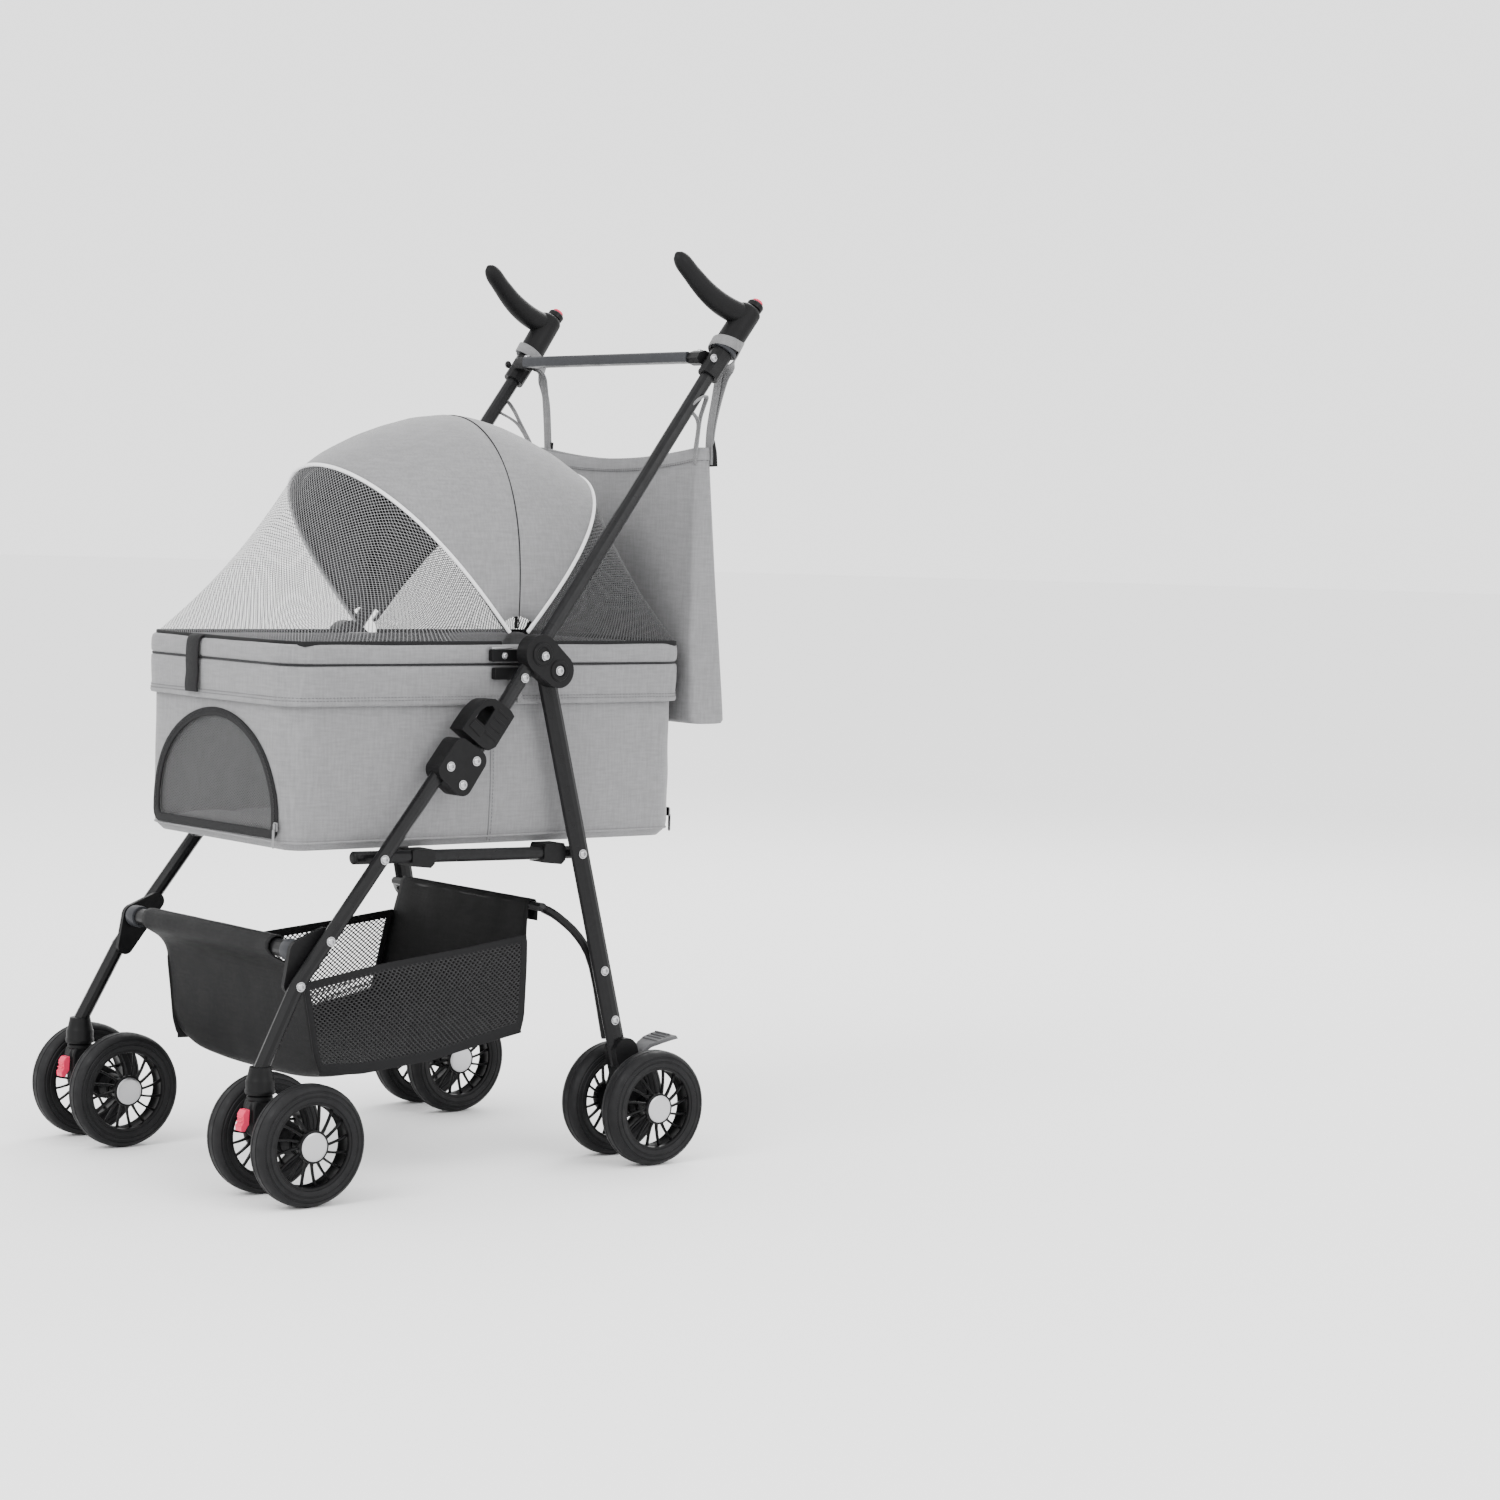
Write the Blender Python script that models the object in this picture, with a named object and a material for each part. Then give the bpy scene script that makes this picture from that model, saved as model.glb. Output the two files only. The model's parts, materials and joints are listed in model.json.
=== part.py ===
"""Four-wheel folding pet stroller with a lift-off soft carrier.

Frame: metres, +Z up, -Y is the direction of travel, +Y the handle side, X across.
The origin lies on the floor under the middle of the object's box.
"""

import math

import bmesh
import bpy
from mathutils import Vector

GAP = 0.0003                      # clearance between pieces that touch
SIDES = (("left", -1.0), ("right", 1.0))

# Wheels and casters
WHEEL_R = 0.0635                  # 5 inch wheel
WHEEL_HALF_WIDTH = 0.0136
WHEEL_BORE_R = 0.0042
WHEEL_SEGMENTS = 24
AXLE_R = 0.0036
WHEEL_PAIR_X = 0.196
FRONT_HALF_SPACING = 0.0438
REAR_HALF_SPACING = 0.0375
FRONT_AXLE_Y = -0.2697
REAR_AXLE_Y = 0.1741
CASTER_Y = -0.3010                # swivel axis; the wheels trail behind it

# Side frame, as points (y, z) in each side's plane
TUBE_X = 0.190
TUBE_R = 0.0080
KNUCKLE = (-0.0474, 0.4486)       # pivot of the handle tube on the front leg
LINK_FRONT = (-0.1567, 0.3473)    # pivot of the side link on the front leg
LINK_REAR = (0.1035, 0.3425)      # pivot of the rear leg on the side link
HUB_PIVOT = (0.0575, 0.5440)      # top of the rear leg, beside the handle tube
TUBE_TOP = (0.2787, 0.8968)
LEG_TOP = (-0.0720, 0.4539)
LEG_BEND = (-0.2564, 0.2202)
LEG_FOOT = (-0.3010, 0.1370)
CROSS_TUBE = (-0.2470, 0.2540)
CROSS_TUBE_R = 0.0095
CROSSBAR = (0.2620, 0.8900)

# Rear leg: a flat oval tube that leans outwards from the hub to the axle
REAR_LEG_TOP = (0.1755, 0.0540, 0.5560)
REAR_LEG_FOOT = (0.1955, 0.1560, 0.1080)
REAR_LEG_HALF = (0.0058, 0.0118)

# Side link under the carrier
LINK_X = 0.1690
LINK_HALF = (0.0060, 0.0070)

# Carrier
CABIN_HALF_X = 0.1560
CABIN_FRONT = -0.2470
CABIN_REAR = 0.2580
CABIN_BOTTOM = 0.3545
CABIN_TOP = 0.5060
CABIN_WALL = 0.0040
CABIN_CORNER = 0.0240
RIM_HALF_X = 0.1620
RIM_FRONT = -0.2530
RIM_REAR = 0.2660
RIM_TOP = 0.5600
RIM_CORNER = 0.0320
DOOR_HALF_X = 0.1280
DOOR_THICK = 0.0030
FRONT_DOOR_TOP = 0.4960
REAR_DOOR_TOP = 0.4680

# Canopy: hoops that fan out from a pivot on each side of the rim
HOOP_PIVOT = (0.0350, 0.5700)
HOOP_ROOT = 0.0180
HOOP_REACH = 0.2500
HOOP_HALF_X = 0.1560
FRONT_ARCH = math.radians(131.0)
MID_ARCH = math.radians(88.0)
REAR_ARCH = math.radians(49.0)
SHEET = 0.0020

# Storage basket and hanging bag
BASKET_HALF_X = 0.1540
BAG_HALF_X = 0.1630

MATERIALS = {
    "frame": ((0.018, 0.018, 0.020), 0.38, 0.6),
    "plastic": ((0.022, 0.022, 0.024), 0.45, 0.0),
    "bar": ((0.055, 0.057, 0.062), 0.35, 0.3),
    "tyre": ((0.020, 0.020, 0.021), 0.75, 0.0),
    "red": ((0.70, 0.075, 0.13), 0.40, 0.0),
    "pedal": ((0.20, 0.20, 0.21), 0.50, 0.0),
    "shell_fabric": ((0.43, 0.43, 0.44), 0.85, 0.0),
    "canopy_fabric": ((0.46, 0.46, 0.47), 0.85, 0.0),
    "mesh": ((0.06, 0.06, 0.065), 0.80, 0.0),
    "basket_fabric": ((0.020, 0.020, 0.022), 0.80, 0.0),
    "mat": ((0.30, 0.30, 0.31), 0.90, 0.0),
}


# ---------------------------------------------------------------- helpers

def material(kind):
    """Return the named Principled material, made once."""
    found = bpy.data.materials.get(kind)
    if found:
        return found
    colour, roughness, metallic = MATERIALS[kind]
    made = bpy.data.materials.new(kind)
    made.use_nodes = True
    shader = made.node_tree.nodes["Principled BSDF"]
    shader.inputs["Base Color"].default_value = (*colour, 1.0)
    shader.inputs["Roughness"].default_value = roughness
    shader.inputs["Metallic"].default_value = metallic
    return made


def add_object(name, points, faces, kind, origin=(0, 0, 0), sharp=35.0):
    """Make one named object from world points, with its origin where it turns."""
    origin = Vector(origin)
    mesh = bpy.data.meshes.new(name)
    mesh.from_pydata([Vector(p) - origin for p in points], [], faces)
    sheet = bmesh.new()
    sheet.from_mesh(mesh)
    bmesh.ops.recalc_face_normals(sheet, faces=sheet.faces)
    sheet.to_mesh(mesh)
    sheet.free()
    mesh.shade_smooth()
    mesh.set_sharp_from_angle(angle=math.radians(sharp))
    made = bpy.data.objects.new(name, mesh)
    made.location = origin
    made.data.materials.append(material(kind))
    bpy.context.scene.collection.objects.link(made)
    return made


def boolean(target, other, operation):
    """Join or cut with a guide object that the build leaves out."""
    other.hide_render = True
    other.display_type = "WIRE"
    step = target.modifiers.new(operation.lower(), "BOOLEAN")
    step.operation = operation
    step.solver = "EXACT"
    step.object = other


def loft(rings, closed=False):
    """Faces between rings of equal length: capped at both ends, or closed on itself."""
    size = len(rings[0])
    faces = []
    last = len(rings) if closed else len(rings) - 1
    for k in range(last):
        low, high = k * size, ((k + 1) % len(rings)) * size
        for i in range(size):
            j = (i + 1) % size
            faces.append((low + i, low + j, high + j, high + i))
    if not closed:
        faces.append(tuple(range(size)))
        faces.append(tuple(range((len(rings) - 1) * size, len(rings) * size)))
    return [p for ring in rings for p in ring], faces


def oval(half_a, half_b, count=12):
    """Points of an oval section."""
    turn = 2 * math.pi / count
    return [(half_a * math.cos(i * turn), half_b * math.sin(i * turn)) for i in range(count)]


def sweep(name, path, section, kind, across=(1, 0, 0), origin=(0, 0, 0)):
    """A bar with one section along a path; a section may be given for each point."""
    path = [Vector(p) for p in path]
    across = Vector(across)
    rings = []
    for i, here in enumerate(path):
        before = path[max(i - 1, 0)]
        after = path[min(i + 1, len(path) - 1)]
        along = ((after - here).normalized() + (here - before).normalized()).normalized()
        side = (across - along * across.dot(along)).normalized()
        up = along.cross(side)
        shape = section[i] if isinstance(section[0], list) else section
        rings.append([here + side * a + up * b for a, b in shape])
    points, faces = loft(rings)
    return add_object(name, points, faces, kind, origin)


def curve_through(points, steps=5):
    """A smooth path through chosen points (Catmull-Rom)."""
    points = [Vector(p) for p in points]
    padded = [points[0] * 2 - points[1], *points, points[-1] * 2 - points[-2]]
    path = []
    for a, b, c, d in zip(padded, padded[1:], padded[2:], padded[3:]):
        for k in range(steps):
            t = k / steps
            path.append(0.5 * (2 * b + (c - a) * t + (2 * a - 5 * b + 4 * c - d) * t ** 2
                               + (3 * b - a - 3 * c + d) * t ** 3))
    path.append(points[-1])
    return path


def plate(name, outline, x_low, x_high, kind, origin=(0, 0, 0)):
    """A flat piece: an outline in (y, z) with its thickness along X."""
    rings = [[(x, y, z) for y, z in outline] for x in (x_low, x_high)]
    points, faces = loft(rings)
    return add_object(name, points, faces, kind, origin)


def panel(name, outline, y_low, y_high, kind, origin=(0, 0, 0)):
    """A flat piece: an outline in (x, z) with its thickness along Y."""
    rings = [[(x, y, z) for x, z in outline] for y in (y_low, y_high)]
    points, faces = loft(rings)
    return add_object(name, points, faces, kind, origin)


def turned(name, profile, centre, axis, kind, segments=20, closed=True, origin=None):
    """A turned piece: profile points (radius, distance along the axis)."""
    axis = Vector(axis).normalized()
    side = axis.orthogonal().normalized()
    if abs(axis.x) > 0.9:
        side = Vector((0, 0, -1))
    other = axis.cross(side)
    centre = Vector(centre)
    rings = []
    for radius, along in profile:
        rings.append([centre + axis * along
                      + (side * math.cos(2 * math.pi * i / segments)
                         + other * math.sin(2 * math.pi * i / segments)) * radius
                      for i in range(segments)])
    points, faces = loft(rings, closed)
    return add_object(name, points, faces, kind, centre if origin is None else origin)


def ring_profile(inner, outer, low, high):
    """Profile of a plain ring."""
    return [(inner, low), (outer, low), (outer, high), (inner, high)]


def rod_profile(radius, low, high):
    """Profile of a plain round bar, for an open (capped) turned piece."""
    return [(radius, low), (radius, high)]


def hull_outline(circles, count=28):
    """Outline in a plane that wraps round circles given as (y, z, radius)."""
    outline = []
    for i in range(count):
        angle = 2 * math.pi * i / count
        way = (math.cos(angle), math.sin(angle))
        reach = max(circles, key=lambda c: c[0] * way[0] + c[1] * way[1] + c[2])
        outline.append((reach[0] + reach[2] * way[0], reach[1] + reach[2] * way[1]))
    return outline


def rounded_box(half_x, y_low, y_high, corner, z, steps=4):
    """A level ring: a rectangle with round corners."""
    ring = []
    corners = ((half_x - corner, y_high - corner, 0), (corner - half_x, y_high - corner, 90),
               (corner - half_x, y_low + corner, 180), (half_x - corner, y_low + corner, 270))
    for cx, cy, start in corners:
        for k in range(steps + 1):
            angle = math.radians(start + 90 * k / steps)
            ring.append((cx + corner * math.cos(angle), cy + corner * math.sin(angle), z))
    return ring


def frame_axes():
    """Unit vectors (y, z) along the handle tube and across it, towards the rear."""
    run = Vector((TUBE_TOP[0] - KNUCKLE[0], TUBE_TOP[1] - KNUCKLE[1])).normalized()
    return run, Vector((run.y, -run.x))


def tube_point(distance, offset=0.0):
    """A point (y, z) at a distance up the handle tube from its pivot."""
    run, across = frame_axes()
    return (KNUCKLE[0] + run.x * distance + across.x * offset,
            KNUCKLE[1] + run.y * distance + across.y * offset)


# ---------------------------------------------------------------- wheels

def wheel(name, x, y):
    """A wheel with its tyre, web and hub, open along its bore."""
    half = WHEEL_HALF_WIDTH
    tread, bead, hub = 0.009, 0.046, 0.0150
    profile = [(WHEEL_BORE_R, -half), (hub, -half), (hub, -0.004), (bead, -0.004),
               (bead, -half), (WHEEL_R, -tread), (WHEEL_R, tread), (bead, half),
               (bead, 0.004), (hub, 0.004), (hub, half), (WHEEL_BORE_R, half)]
    turned(name, profile, (x, y, WHEEL_R), (1, 0, 0), "tyre", WHEEL_SEGMENTS)


def wheels():
    """Eight wheels in four pairs."""
    for side, sign in SIDES:
        for end, y, spacing in (("front", FRONT_AXLE_Y, FRONT_HALF_SPACING),
                                ("rear", REAR_AXLE_Y, REAR_HALF_SPACING)):
            for place, step in (("outer", 1), ("inner", -1)):
                x = sign * (WHEEL_PAIR_X + step * spacing)
                wheel(f"wheel_{end}_{side}_{place}", x, y)


def axle_guide(name, x, y, spacing, barrel_r):
    """A pin through both wheels of a pair with a spacer barrel between them."""
    reach = spacing + WHEEL_HALF_WIDTH - 0.001
    shoulder = spacing - WHEEL_HALF_WIDTH - GAP * 2
    profile = [(AXLE_R, -reach), (AXLE_R, -shoulder), (barrel_r, -shoulder),
               (barrel_r, shoulder), (AXLE_R, shoulder), (AXLE_R, reach)]
    return turned(name, profile, (x, y, WHEEL_R), (1, 0, 0), "plastic", 12, closed=False)


def casters():
    """Front forks that swivel under the legs, each with a red swivel lock."""
    for side, sign in SIDES:
        x = sign * WHEEL_PAIR_X
        pivot = (x, CASTER_Y, 0.0)
        outline = hull_outline([(CASTER_Y, 0.0950, 0.0135), (CASTER_Y, 0.0840, 0.0125),
                                (FRONT_AXLE_Y, WHEEL_R, 0.0150)], 20)
        fork = plate(f"caster_fork_{side}", outline, x - 0.0120, x + 0.0120, "plastic", pivot)
        stem = turned(f"guide_stem_{side}", rod_profile(0.0125, 0.090, 0.1120),
                      (x, CASTER_Y, 0), (0, 0, 1), "plastic", 16, closed=False)
        axle = axle_guide(f"guide_axle_{side}", x, FRONT_AXLE_Y, FRONT_HALF_SPACING, 0.0130)
        boolean(fork, stem, "UNION")
        boolean(fork, axle, "UNION")
        top, low = 0.0980, 0.0760
        front = CASTER_Y - 0.0145
        lock = [(front - GAP, top), (front - 0.0050, top - 0.001), (front - 0.0100, low + 0.004),
                (front - 0.0085, low), (front - GAP - 0.0010, low + 0.006)]
        plate(f"caster_lock_{side}", lock, x - 0.0065, x + 0.0065, "red",
              (x, front - 0.0020, top - 0.003))


# ---------------------------------------------------------------- front frame

def front_legs():
    """Front leg tubes, from the knuckle down to the caster sockets."""
    for side, sign in SIDES:
        upper = (sign * TUBE_X, *LEG_TOP)
        bend = (sign * (TUBE_X + 0.001), *LEG_BEND)
        foot = (sign * WHEEL_PAIR_X, *LEG_FOOT)
        above = Vector(bend).lerp(Vector(upper), 0.10)
        below = Vector(bend).lerp(Vector(foot), 0.25)
        path = [upper, above, bend, below, foot]
        leg = sweep(f"front_leg_{side}", path, oval(TUBE_R, TUBE_R), "frame")
        profile = [(0.0135, 0.1126), (0.0150, 0.1180), (0.0150, 0.1240), (0.0110, 0.1400)]
        socket = turned(f"guide_caster_socket_{side}", profile,
                        (sign * WHEEL_PAIR_X, CASTER_Y, 0), (0, 0, 1), "plastic", 16, closed=False)
        boolean(leg, socket, "UNION")


def knuckles():
    """Brackets that hold each front leg's top and the handle tube's pivot."""
    leg_offset = -0.0235
    for side, sign in SIDES:
        circles = [(*tube_point(0.0, 0.0), 0.0125), (*tube_point(-0.030, 0.001), 0.0120),
                   (*tube_point(-0.028, leg_offset), 0.0120),
                   (*tube_point(0.000, leg_offset), 0.0110)]
        low, high = sorted((sign * (TUBE_X - 0.0130), sign * (TUBE_X + 0.0130)))
        block = plate(f"knuckle_{side}", hull_outline(circles), low, high, "plastic")
        slot = [tube_point(-0.0150, -0.0122), tube_point(-0.0150, 0.0400),
                tube_point(0.0400, 0.0400), tube_point(0.0400, -0.0122)]
        low, high = sorted((sign * (TUBE_X - TUBE_R - GAP * 2), sign * (TUBE_X + TUBE_R + GAP * 2)))
        boolean(block, plate(f"guide_slot_{side}", slot, low, high, "plastic"), "DIFFERENCE")
        leg_line = [(sign * TUBE_X, *LEG_TOP), (sign * TUBE_X, *LEG_BEND)]
        start = Vector(leg_line[0])
        way = (start - Vector(leg_line[1])).normalized()
        socket = [start + way * 0.0003, start - way * 0.0900]
        bore = sweep(f"guide_socket_{side}", socket, oval(TUBE_R + GAP, TUBE_R + GAP), "plastic")
        boolean(block, bore, "DIFFERENCE")


def front_cross_tube():
    """The tube between the front legs and the brackets that hold it."""
    y, z = CROSS_TUBE
    turned("front_cross_tube", rod_profile(CROSS_TUBE_R, -0.1750, 0.1750), (0, y, z),
           (1, 0, 0), "frame", 16, closed=False)
    upper, lower = Vector(LEG_BEND).lerp(Vector(LINK_FRONT), 0.38), Vector(LEG_BEND)
    for side, sign in SIDES:
        circles = [(upper.x, upper.y, 0.0095), (lower.x, lower.y, 0.0095), (y, z, 0.0125)]
        low, high = sorted((sign * 0.1754, sign * (TUBE_X - TUBE_R - GAP * 2)))
        plate(f"cross_tube_bracket_{side}", hull_outline(circles, 24), low, high, "plastic")


# ---------------------------------------------------------------- handle frame

def handle_tubes():
    """Handle tubes, hinged on the knuckles, with the crossbar and its clamps."""
    pivot = (0, *KNUCKLE)
    y, z = CROSSBAR
    for side, sign in SIDES:
        path = [(sign * TUBE_X, *tube_point(-0.0070)), (sign * TUBE_X, *TUBE_TOP)]
        sweep(f"handle_tube_{side}", path, oval(TUBE_R, TUBE_R), "frame", origin=pivot)
        ends = [(sign * TUBE_X, *tube_point(0.5200)), (sign * TUBE_X, *tube_point(0.5530))]
        clamp = sweep(f"crossbar_clamp_{side}", ends, oval(0.0120, 0.0125), "plastic", origin=pivot)
        arm_ends = [(sign * (TUBE_X - 0.0095), y, z), (sign * 0.1600, y, z)]
        arm = sweep(f"guide_arm_{side}", arm_ends, oval(0.0110, 0.0085, 8), "plastic", (0, 1, 0))
        boolean(clamp, arm, "UNION")
        bore_ends = [(sign * TUBE_X, *tube_point(0.4800)), (sign * TUBE_X, *tube_point(0.5800))]
        bore = sweep(f"guide_clamp_{side}", bore_ends, oval(TUBE_R + GAP, TUBE_R + GAP), "plastic")
        boolean(clamp, bore, "DIFFERENCE")
    half = [(-0.0100, -0.0055), (0.0100, -0.0055), (0.0120, 0.0), (0.0100, 0.0070),
            (-0.0100, 0.0070), (-0.0120, 0.0)]
    rings = [[(x, y + a, z + b) for a, b in half] for x in (-0.1597, 0.1597)]
    points, faces = loft(rings)
    add_object("crossbar", points, faces, "bar", pivot)


def hubs():
    """Plates on the handle tubes that cover the tops of the rear legs."""
    for side, sign in SIDES:
        circles = [(*tube_point(0.1400), 0.0210), (*HUB_PIVOT, 0.0190)]
        low, high = sorted((sign * (TUBE_X - 0.0058), sign * (TUBE_X + 0.0130)))
        hub = plate(f"hub_{side}", hull_outline(circles), low, high, "plastic", (0, *KNUCKLE))
        ends = [(sign * TUBE_X, *tube_point(0.0900)), (sign * TUBE_X, *tube_point(0.2000))]
        bore = sweep(f"guide_hub_{side}", ends, oval(TUBE_R + GAP, TUBE_R + GAP), "plastic")
        boolean(hub, bore, "DIFFERENCE")


def latches():
    """Sleeves with a finger loop that slide up the handle tubes to free the fold."""
    for side, sign in SIDES:
        low, high = sorted((sign * (TUBE_X - 0.0120), sign * (TUBE_X + 0.0120)))
        outline = [tube_point(0.0160, 0.0000), tube_point(0.0260, 0.0110),
                   tube_point(0.0660, 0.0110),
                   tube_point(0.0670, -0.0090), tube_point(0.0660, -0.0210),
                   tube_point(0.0560, -0.0300), tube_point(0.0380, -0.0350),
                   tube_point(0.0160, -0.0355)]
        body = plate(f"latch_{side}", outline, low, high, "plastic", (0, *tube_point(0.04)))
        hole = [tube_point(0.0370, -0.0130), tube_point(0.0580, -0.0130),
                tube_point(0.0580, -0.0210), tube_point(0.0500, -0.0260),
                tube_point(0.0370, -0.0280)]
        cutter = plate(f"guide_loop_{side}", hole, low - 0.01, high + 0.01, "plastic")
        boolean(body, cutter, "DIFFERENCE")
        ends = [(sign * TUBE_X, *tube_point(-0.02)), (sign * TUBE_X, *tube_point(0.10))]
        bore = sweep(f"guide_latch_{side}", ends, oval(TUBE_R + GAP, TUBE_R + GAP), "plastic")
        boolean(body, bore, "DIFFERENCE")


def grips():
    """Curved hand grips with a push button at the back."""
    for side, sign in SIDES:
        x = sign * TUBE_X
        seat = Vector((x, *tube_point(0.5560)))
        top = Vector((x + sign * 0.003, 0.3090, 0.9400))
        axis = (top - seat).normalized()
        path = curve_through([seat, seat.lerp(top, 0.5), top, (x + sign * 0.002, 0.2990, 0.9660),
                              (x, 0.2760, 0.9770), (x - sign * 0.003, 0.2480, 0.9880),
                              (x - sign * 0.0055, 0.2250, 1.0030)], 3)
        count = len(path)
        section = []
        for i in range(count):
            t = i / (count - 1)
            width = 0.0150 if t < 0.35 else 0.0150 - 0.0035 * (t - 0.35) / 0.65
            depth = 0.0150 if t < 0.35 else 0.0135 - 0.0040 * (t - 0.35) / 0.65
            section.append(oval(width, depth))
        grip = sweep(f"grip_{side}", path, section, "plastic", origin=seat)
        back = top + axis * 0.0060 + Vector((0, 0.0060, 0.0))
        button_way = Vector((0, 0.62, 0.78)).normalized()
        turned(f"grip_button_{side}", [(0.0070, 0.0040), (0.0070, 0.0150), (0.0045, 0.0180)],
               back, button_way, "red", 12, closed=False)
        pocket = turned(f"guide_pocket_{side}", rod_profile(0.0074, 0.0006, 0.0300), back,
                        button_way, "plastic", 12, closed=False)
        boolean(grip, pocket, "DIFFERENCE")


def bag():
    """Hanging bag, open along its top edge, on two straps from the crossbar."""
    half = BAG_HALF_X
    rows = ((0.4800, 0.2700, 0.3190), (0.5300, 0.2700, 0.3170), (0.6500, 0.2690, 0.3030),
            (0.7900, 0.2680, 0.2870))
    wall = 0.0030
    outer, inner = [], []
    for z, front, rear in rows:
        outer.append([(-half, front, z), (half, front, z), (half, rear, z), (-half, rear, z)])
        inner.append([(wall - half, front + wall, max(z, 0.4830)),
                      (half - wall, front + wall, max(z, 0.4830)),
                      (half - wall, rear - wall, max(z, 0.4830)),
                      (wall - half, rear - wall, max(z, 0.4830))])
    points, faces = loft(outer + inner[::-1])
    body = add_object("bag", points, faces, "shell_fabric", (0, CROSSBAR[0], CROSSBAR[1]))
    y, z = CROSSBAR
    for side, sign in SIDES:
        rings = []
        for px, py, pz in ((0.1530, 0.2695, 0.7840), (0.1530, 0.2680, 0.8500),
                           (0.1530, y + 0.001, z - 0.0095)):
            rings.append([(sign * px - 0.007, py - 0.001, pz), (sign * px + 0.007, py - 0.001, pz),
                          (sign * px + 0.007, py + 0.001, pz), (sign * px - 0.007, py + 0.001, pz)])
        points, faces = loft(rings)
        boolean(body, add_object(f"guide_strap_{side}", points, faces, "shell_fabric"), "UNION")


# ---------------------------------------------------------------- rear frame and links

def side_links():
    """Bars under the carrier from the front legs to the rear legs, with saddles."""
    front = (LINK_FRONT[0] - 0.0200, LINK_FRONT[1] + 0.0003)
    rear = (LINK_REAR[0] + 0.0090, LINK_REAR[1])
    for side, sign in SIDES:
        path = [(sign * LINK_X, *front), (sign * LINK_X, *rear)]
        link = sweep(f"side_link_{side}", path, oval(*LINK_HALF), "frame",
                     origin=(0, *LINK_FRONT))
        for place, y in (("front", -0.0940), ("rear", 0.0760)):
            z = LINK_FRONT[1] + (y - LINK_FRONT[0]) / (rear[0] - LINK_FRONT[0]) * (rear[1] - LINK_FRONT[1])
            outline = [(y - 0.0140, z - 0.0100), (y + 0.0090, z - 0.0125), (y + 0.0140, z - 0.0080),
                       (y + 0.0140, z + 0.0060), (y + 0.0120, 0.3538), (y - 0.0120, 0.3538),
                       (y - 0.0140, z + 0.0060)]
            low, high = sorted((sign * 0.1480, sign * (LINK_X + 0.0072)))
            saddle = plate(f"saddle_{place}_{side}", outline, low, high, "plastic", (0, *LINK_FRONT))
            hole = sweep(f"guide_saddle_{place}_{side}", path,
                         oval(LINK_HALF[0] + GAP, LINK_HALF[1] + GAP), "frame")
            boolean(saddle, hole, "DIFFERENCE")


def rear_legs():
    """Rear legs, the axle blocks at their feet and the brake pedals."""
    for side, sign in SIDES:
        top = Vector((sign * REAR_LEG_TOP[0], *REAR_LEG_TOP[1:]))
        foot = Vector((sign * REAR_LEG_FOOT[0], *REAR_LEG_FOOT[1:]))
        tip = top + (top - foot).normalized() * 0.006
        slim = oval(REAR_LEG_HALF[0], REAR_LEG_HALF[1] * 0.6)
        full = oval(*REAR_LEG_HALF)
        sweep(f"rear_leg_{side}", [tip, top, foot], [slim, full, full], "frame",
              origin=(0, *LINK_REAR))
        x = sign * WHEEL_PAIR_X
        circles = [(REAR_LEG_FOOT[1] + 0.001, 0.1230, 0.0150), (REAR_AXLE_Y, WHEEL_R, 0.0150)]
        block = plate(f"rear_axle_block_{side}", hull_outline(circles, 20), x - 0.0110,
                      x + 0.0110, "plastic", (0, *LINK_REAR))
        axle = axle_guide(f"guide_rear_axle_{side}", x, REAR_AXLE_Y, REAR_HALF_SPACING, 0.0130)
        boolean(block, axle, "UNION")
        way = (top - foot).normalized()
        bore = sweep(f"guide_foot_{side}", [foot - way * GAP, top],
                     oval(REAR_LEG_HALF[0] + GAP, REAR_LEG_HALF[1] + GAP), "plastic")
        boolean(block, bore, "DIFFERENCE")
        pedal = [(0.1760, 0.1150), (0.1795, 0.1240), (0.1990, 0.1330), (0.2190, 0.1370),
                 (0.2200, 0.1330), (0.2020, 0.1265), (0.1900, 0.1150), (0.1850, 0.1080)]
        plate(f"brake_pedal_{side}", pedal, x - 0.0190, x + 0.0190, "pedal",
              (0, 0.1810, 0.1160))


def rear_basket_tube():
    """Tube that carries the basket's rear edge and runs down inside the rear legs."""
    half_route = [(0.1775, 0.1490, 0.1350), (0.1755, 0.1310, 0.2150), (0.1700, 0.1150, 0.2480),
                  (0.1620, 0.0930, 0.2700), (0.1480, 0.0820, 0.2790), (0.1250, 0.0790, 0.2810)]
    route = half_route + [(-x, y, z) for x, y, z in reversed(half_route)]
    radius = 0.0050
    path = curve_through(route, 3)
    rings = []
    for i, here in enumerate(path):
        along = (path[min(i + 1, len(path) - 1)] - path[max(i - 1, 0)]).normalized()
        side = along.cross(Vector((0, 0.9, 0.45))).normalized()
        up = side.cross(along)
        rings.append([here + side * a + up * b for a, b in oval(radius, radius, 8)])
    points, faces = loft(rings)
    add_object("rear_basket_tube", points, faces, "frame", (0, *LINK_REAR))


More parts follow.
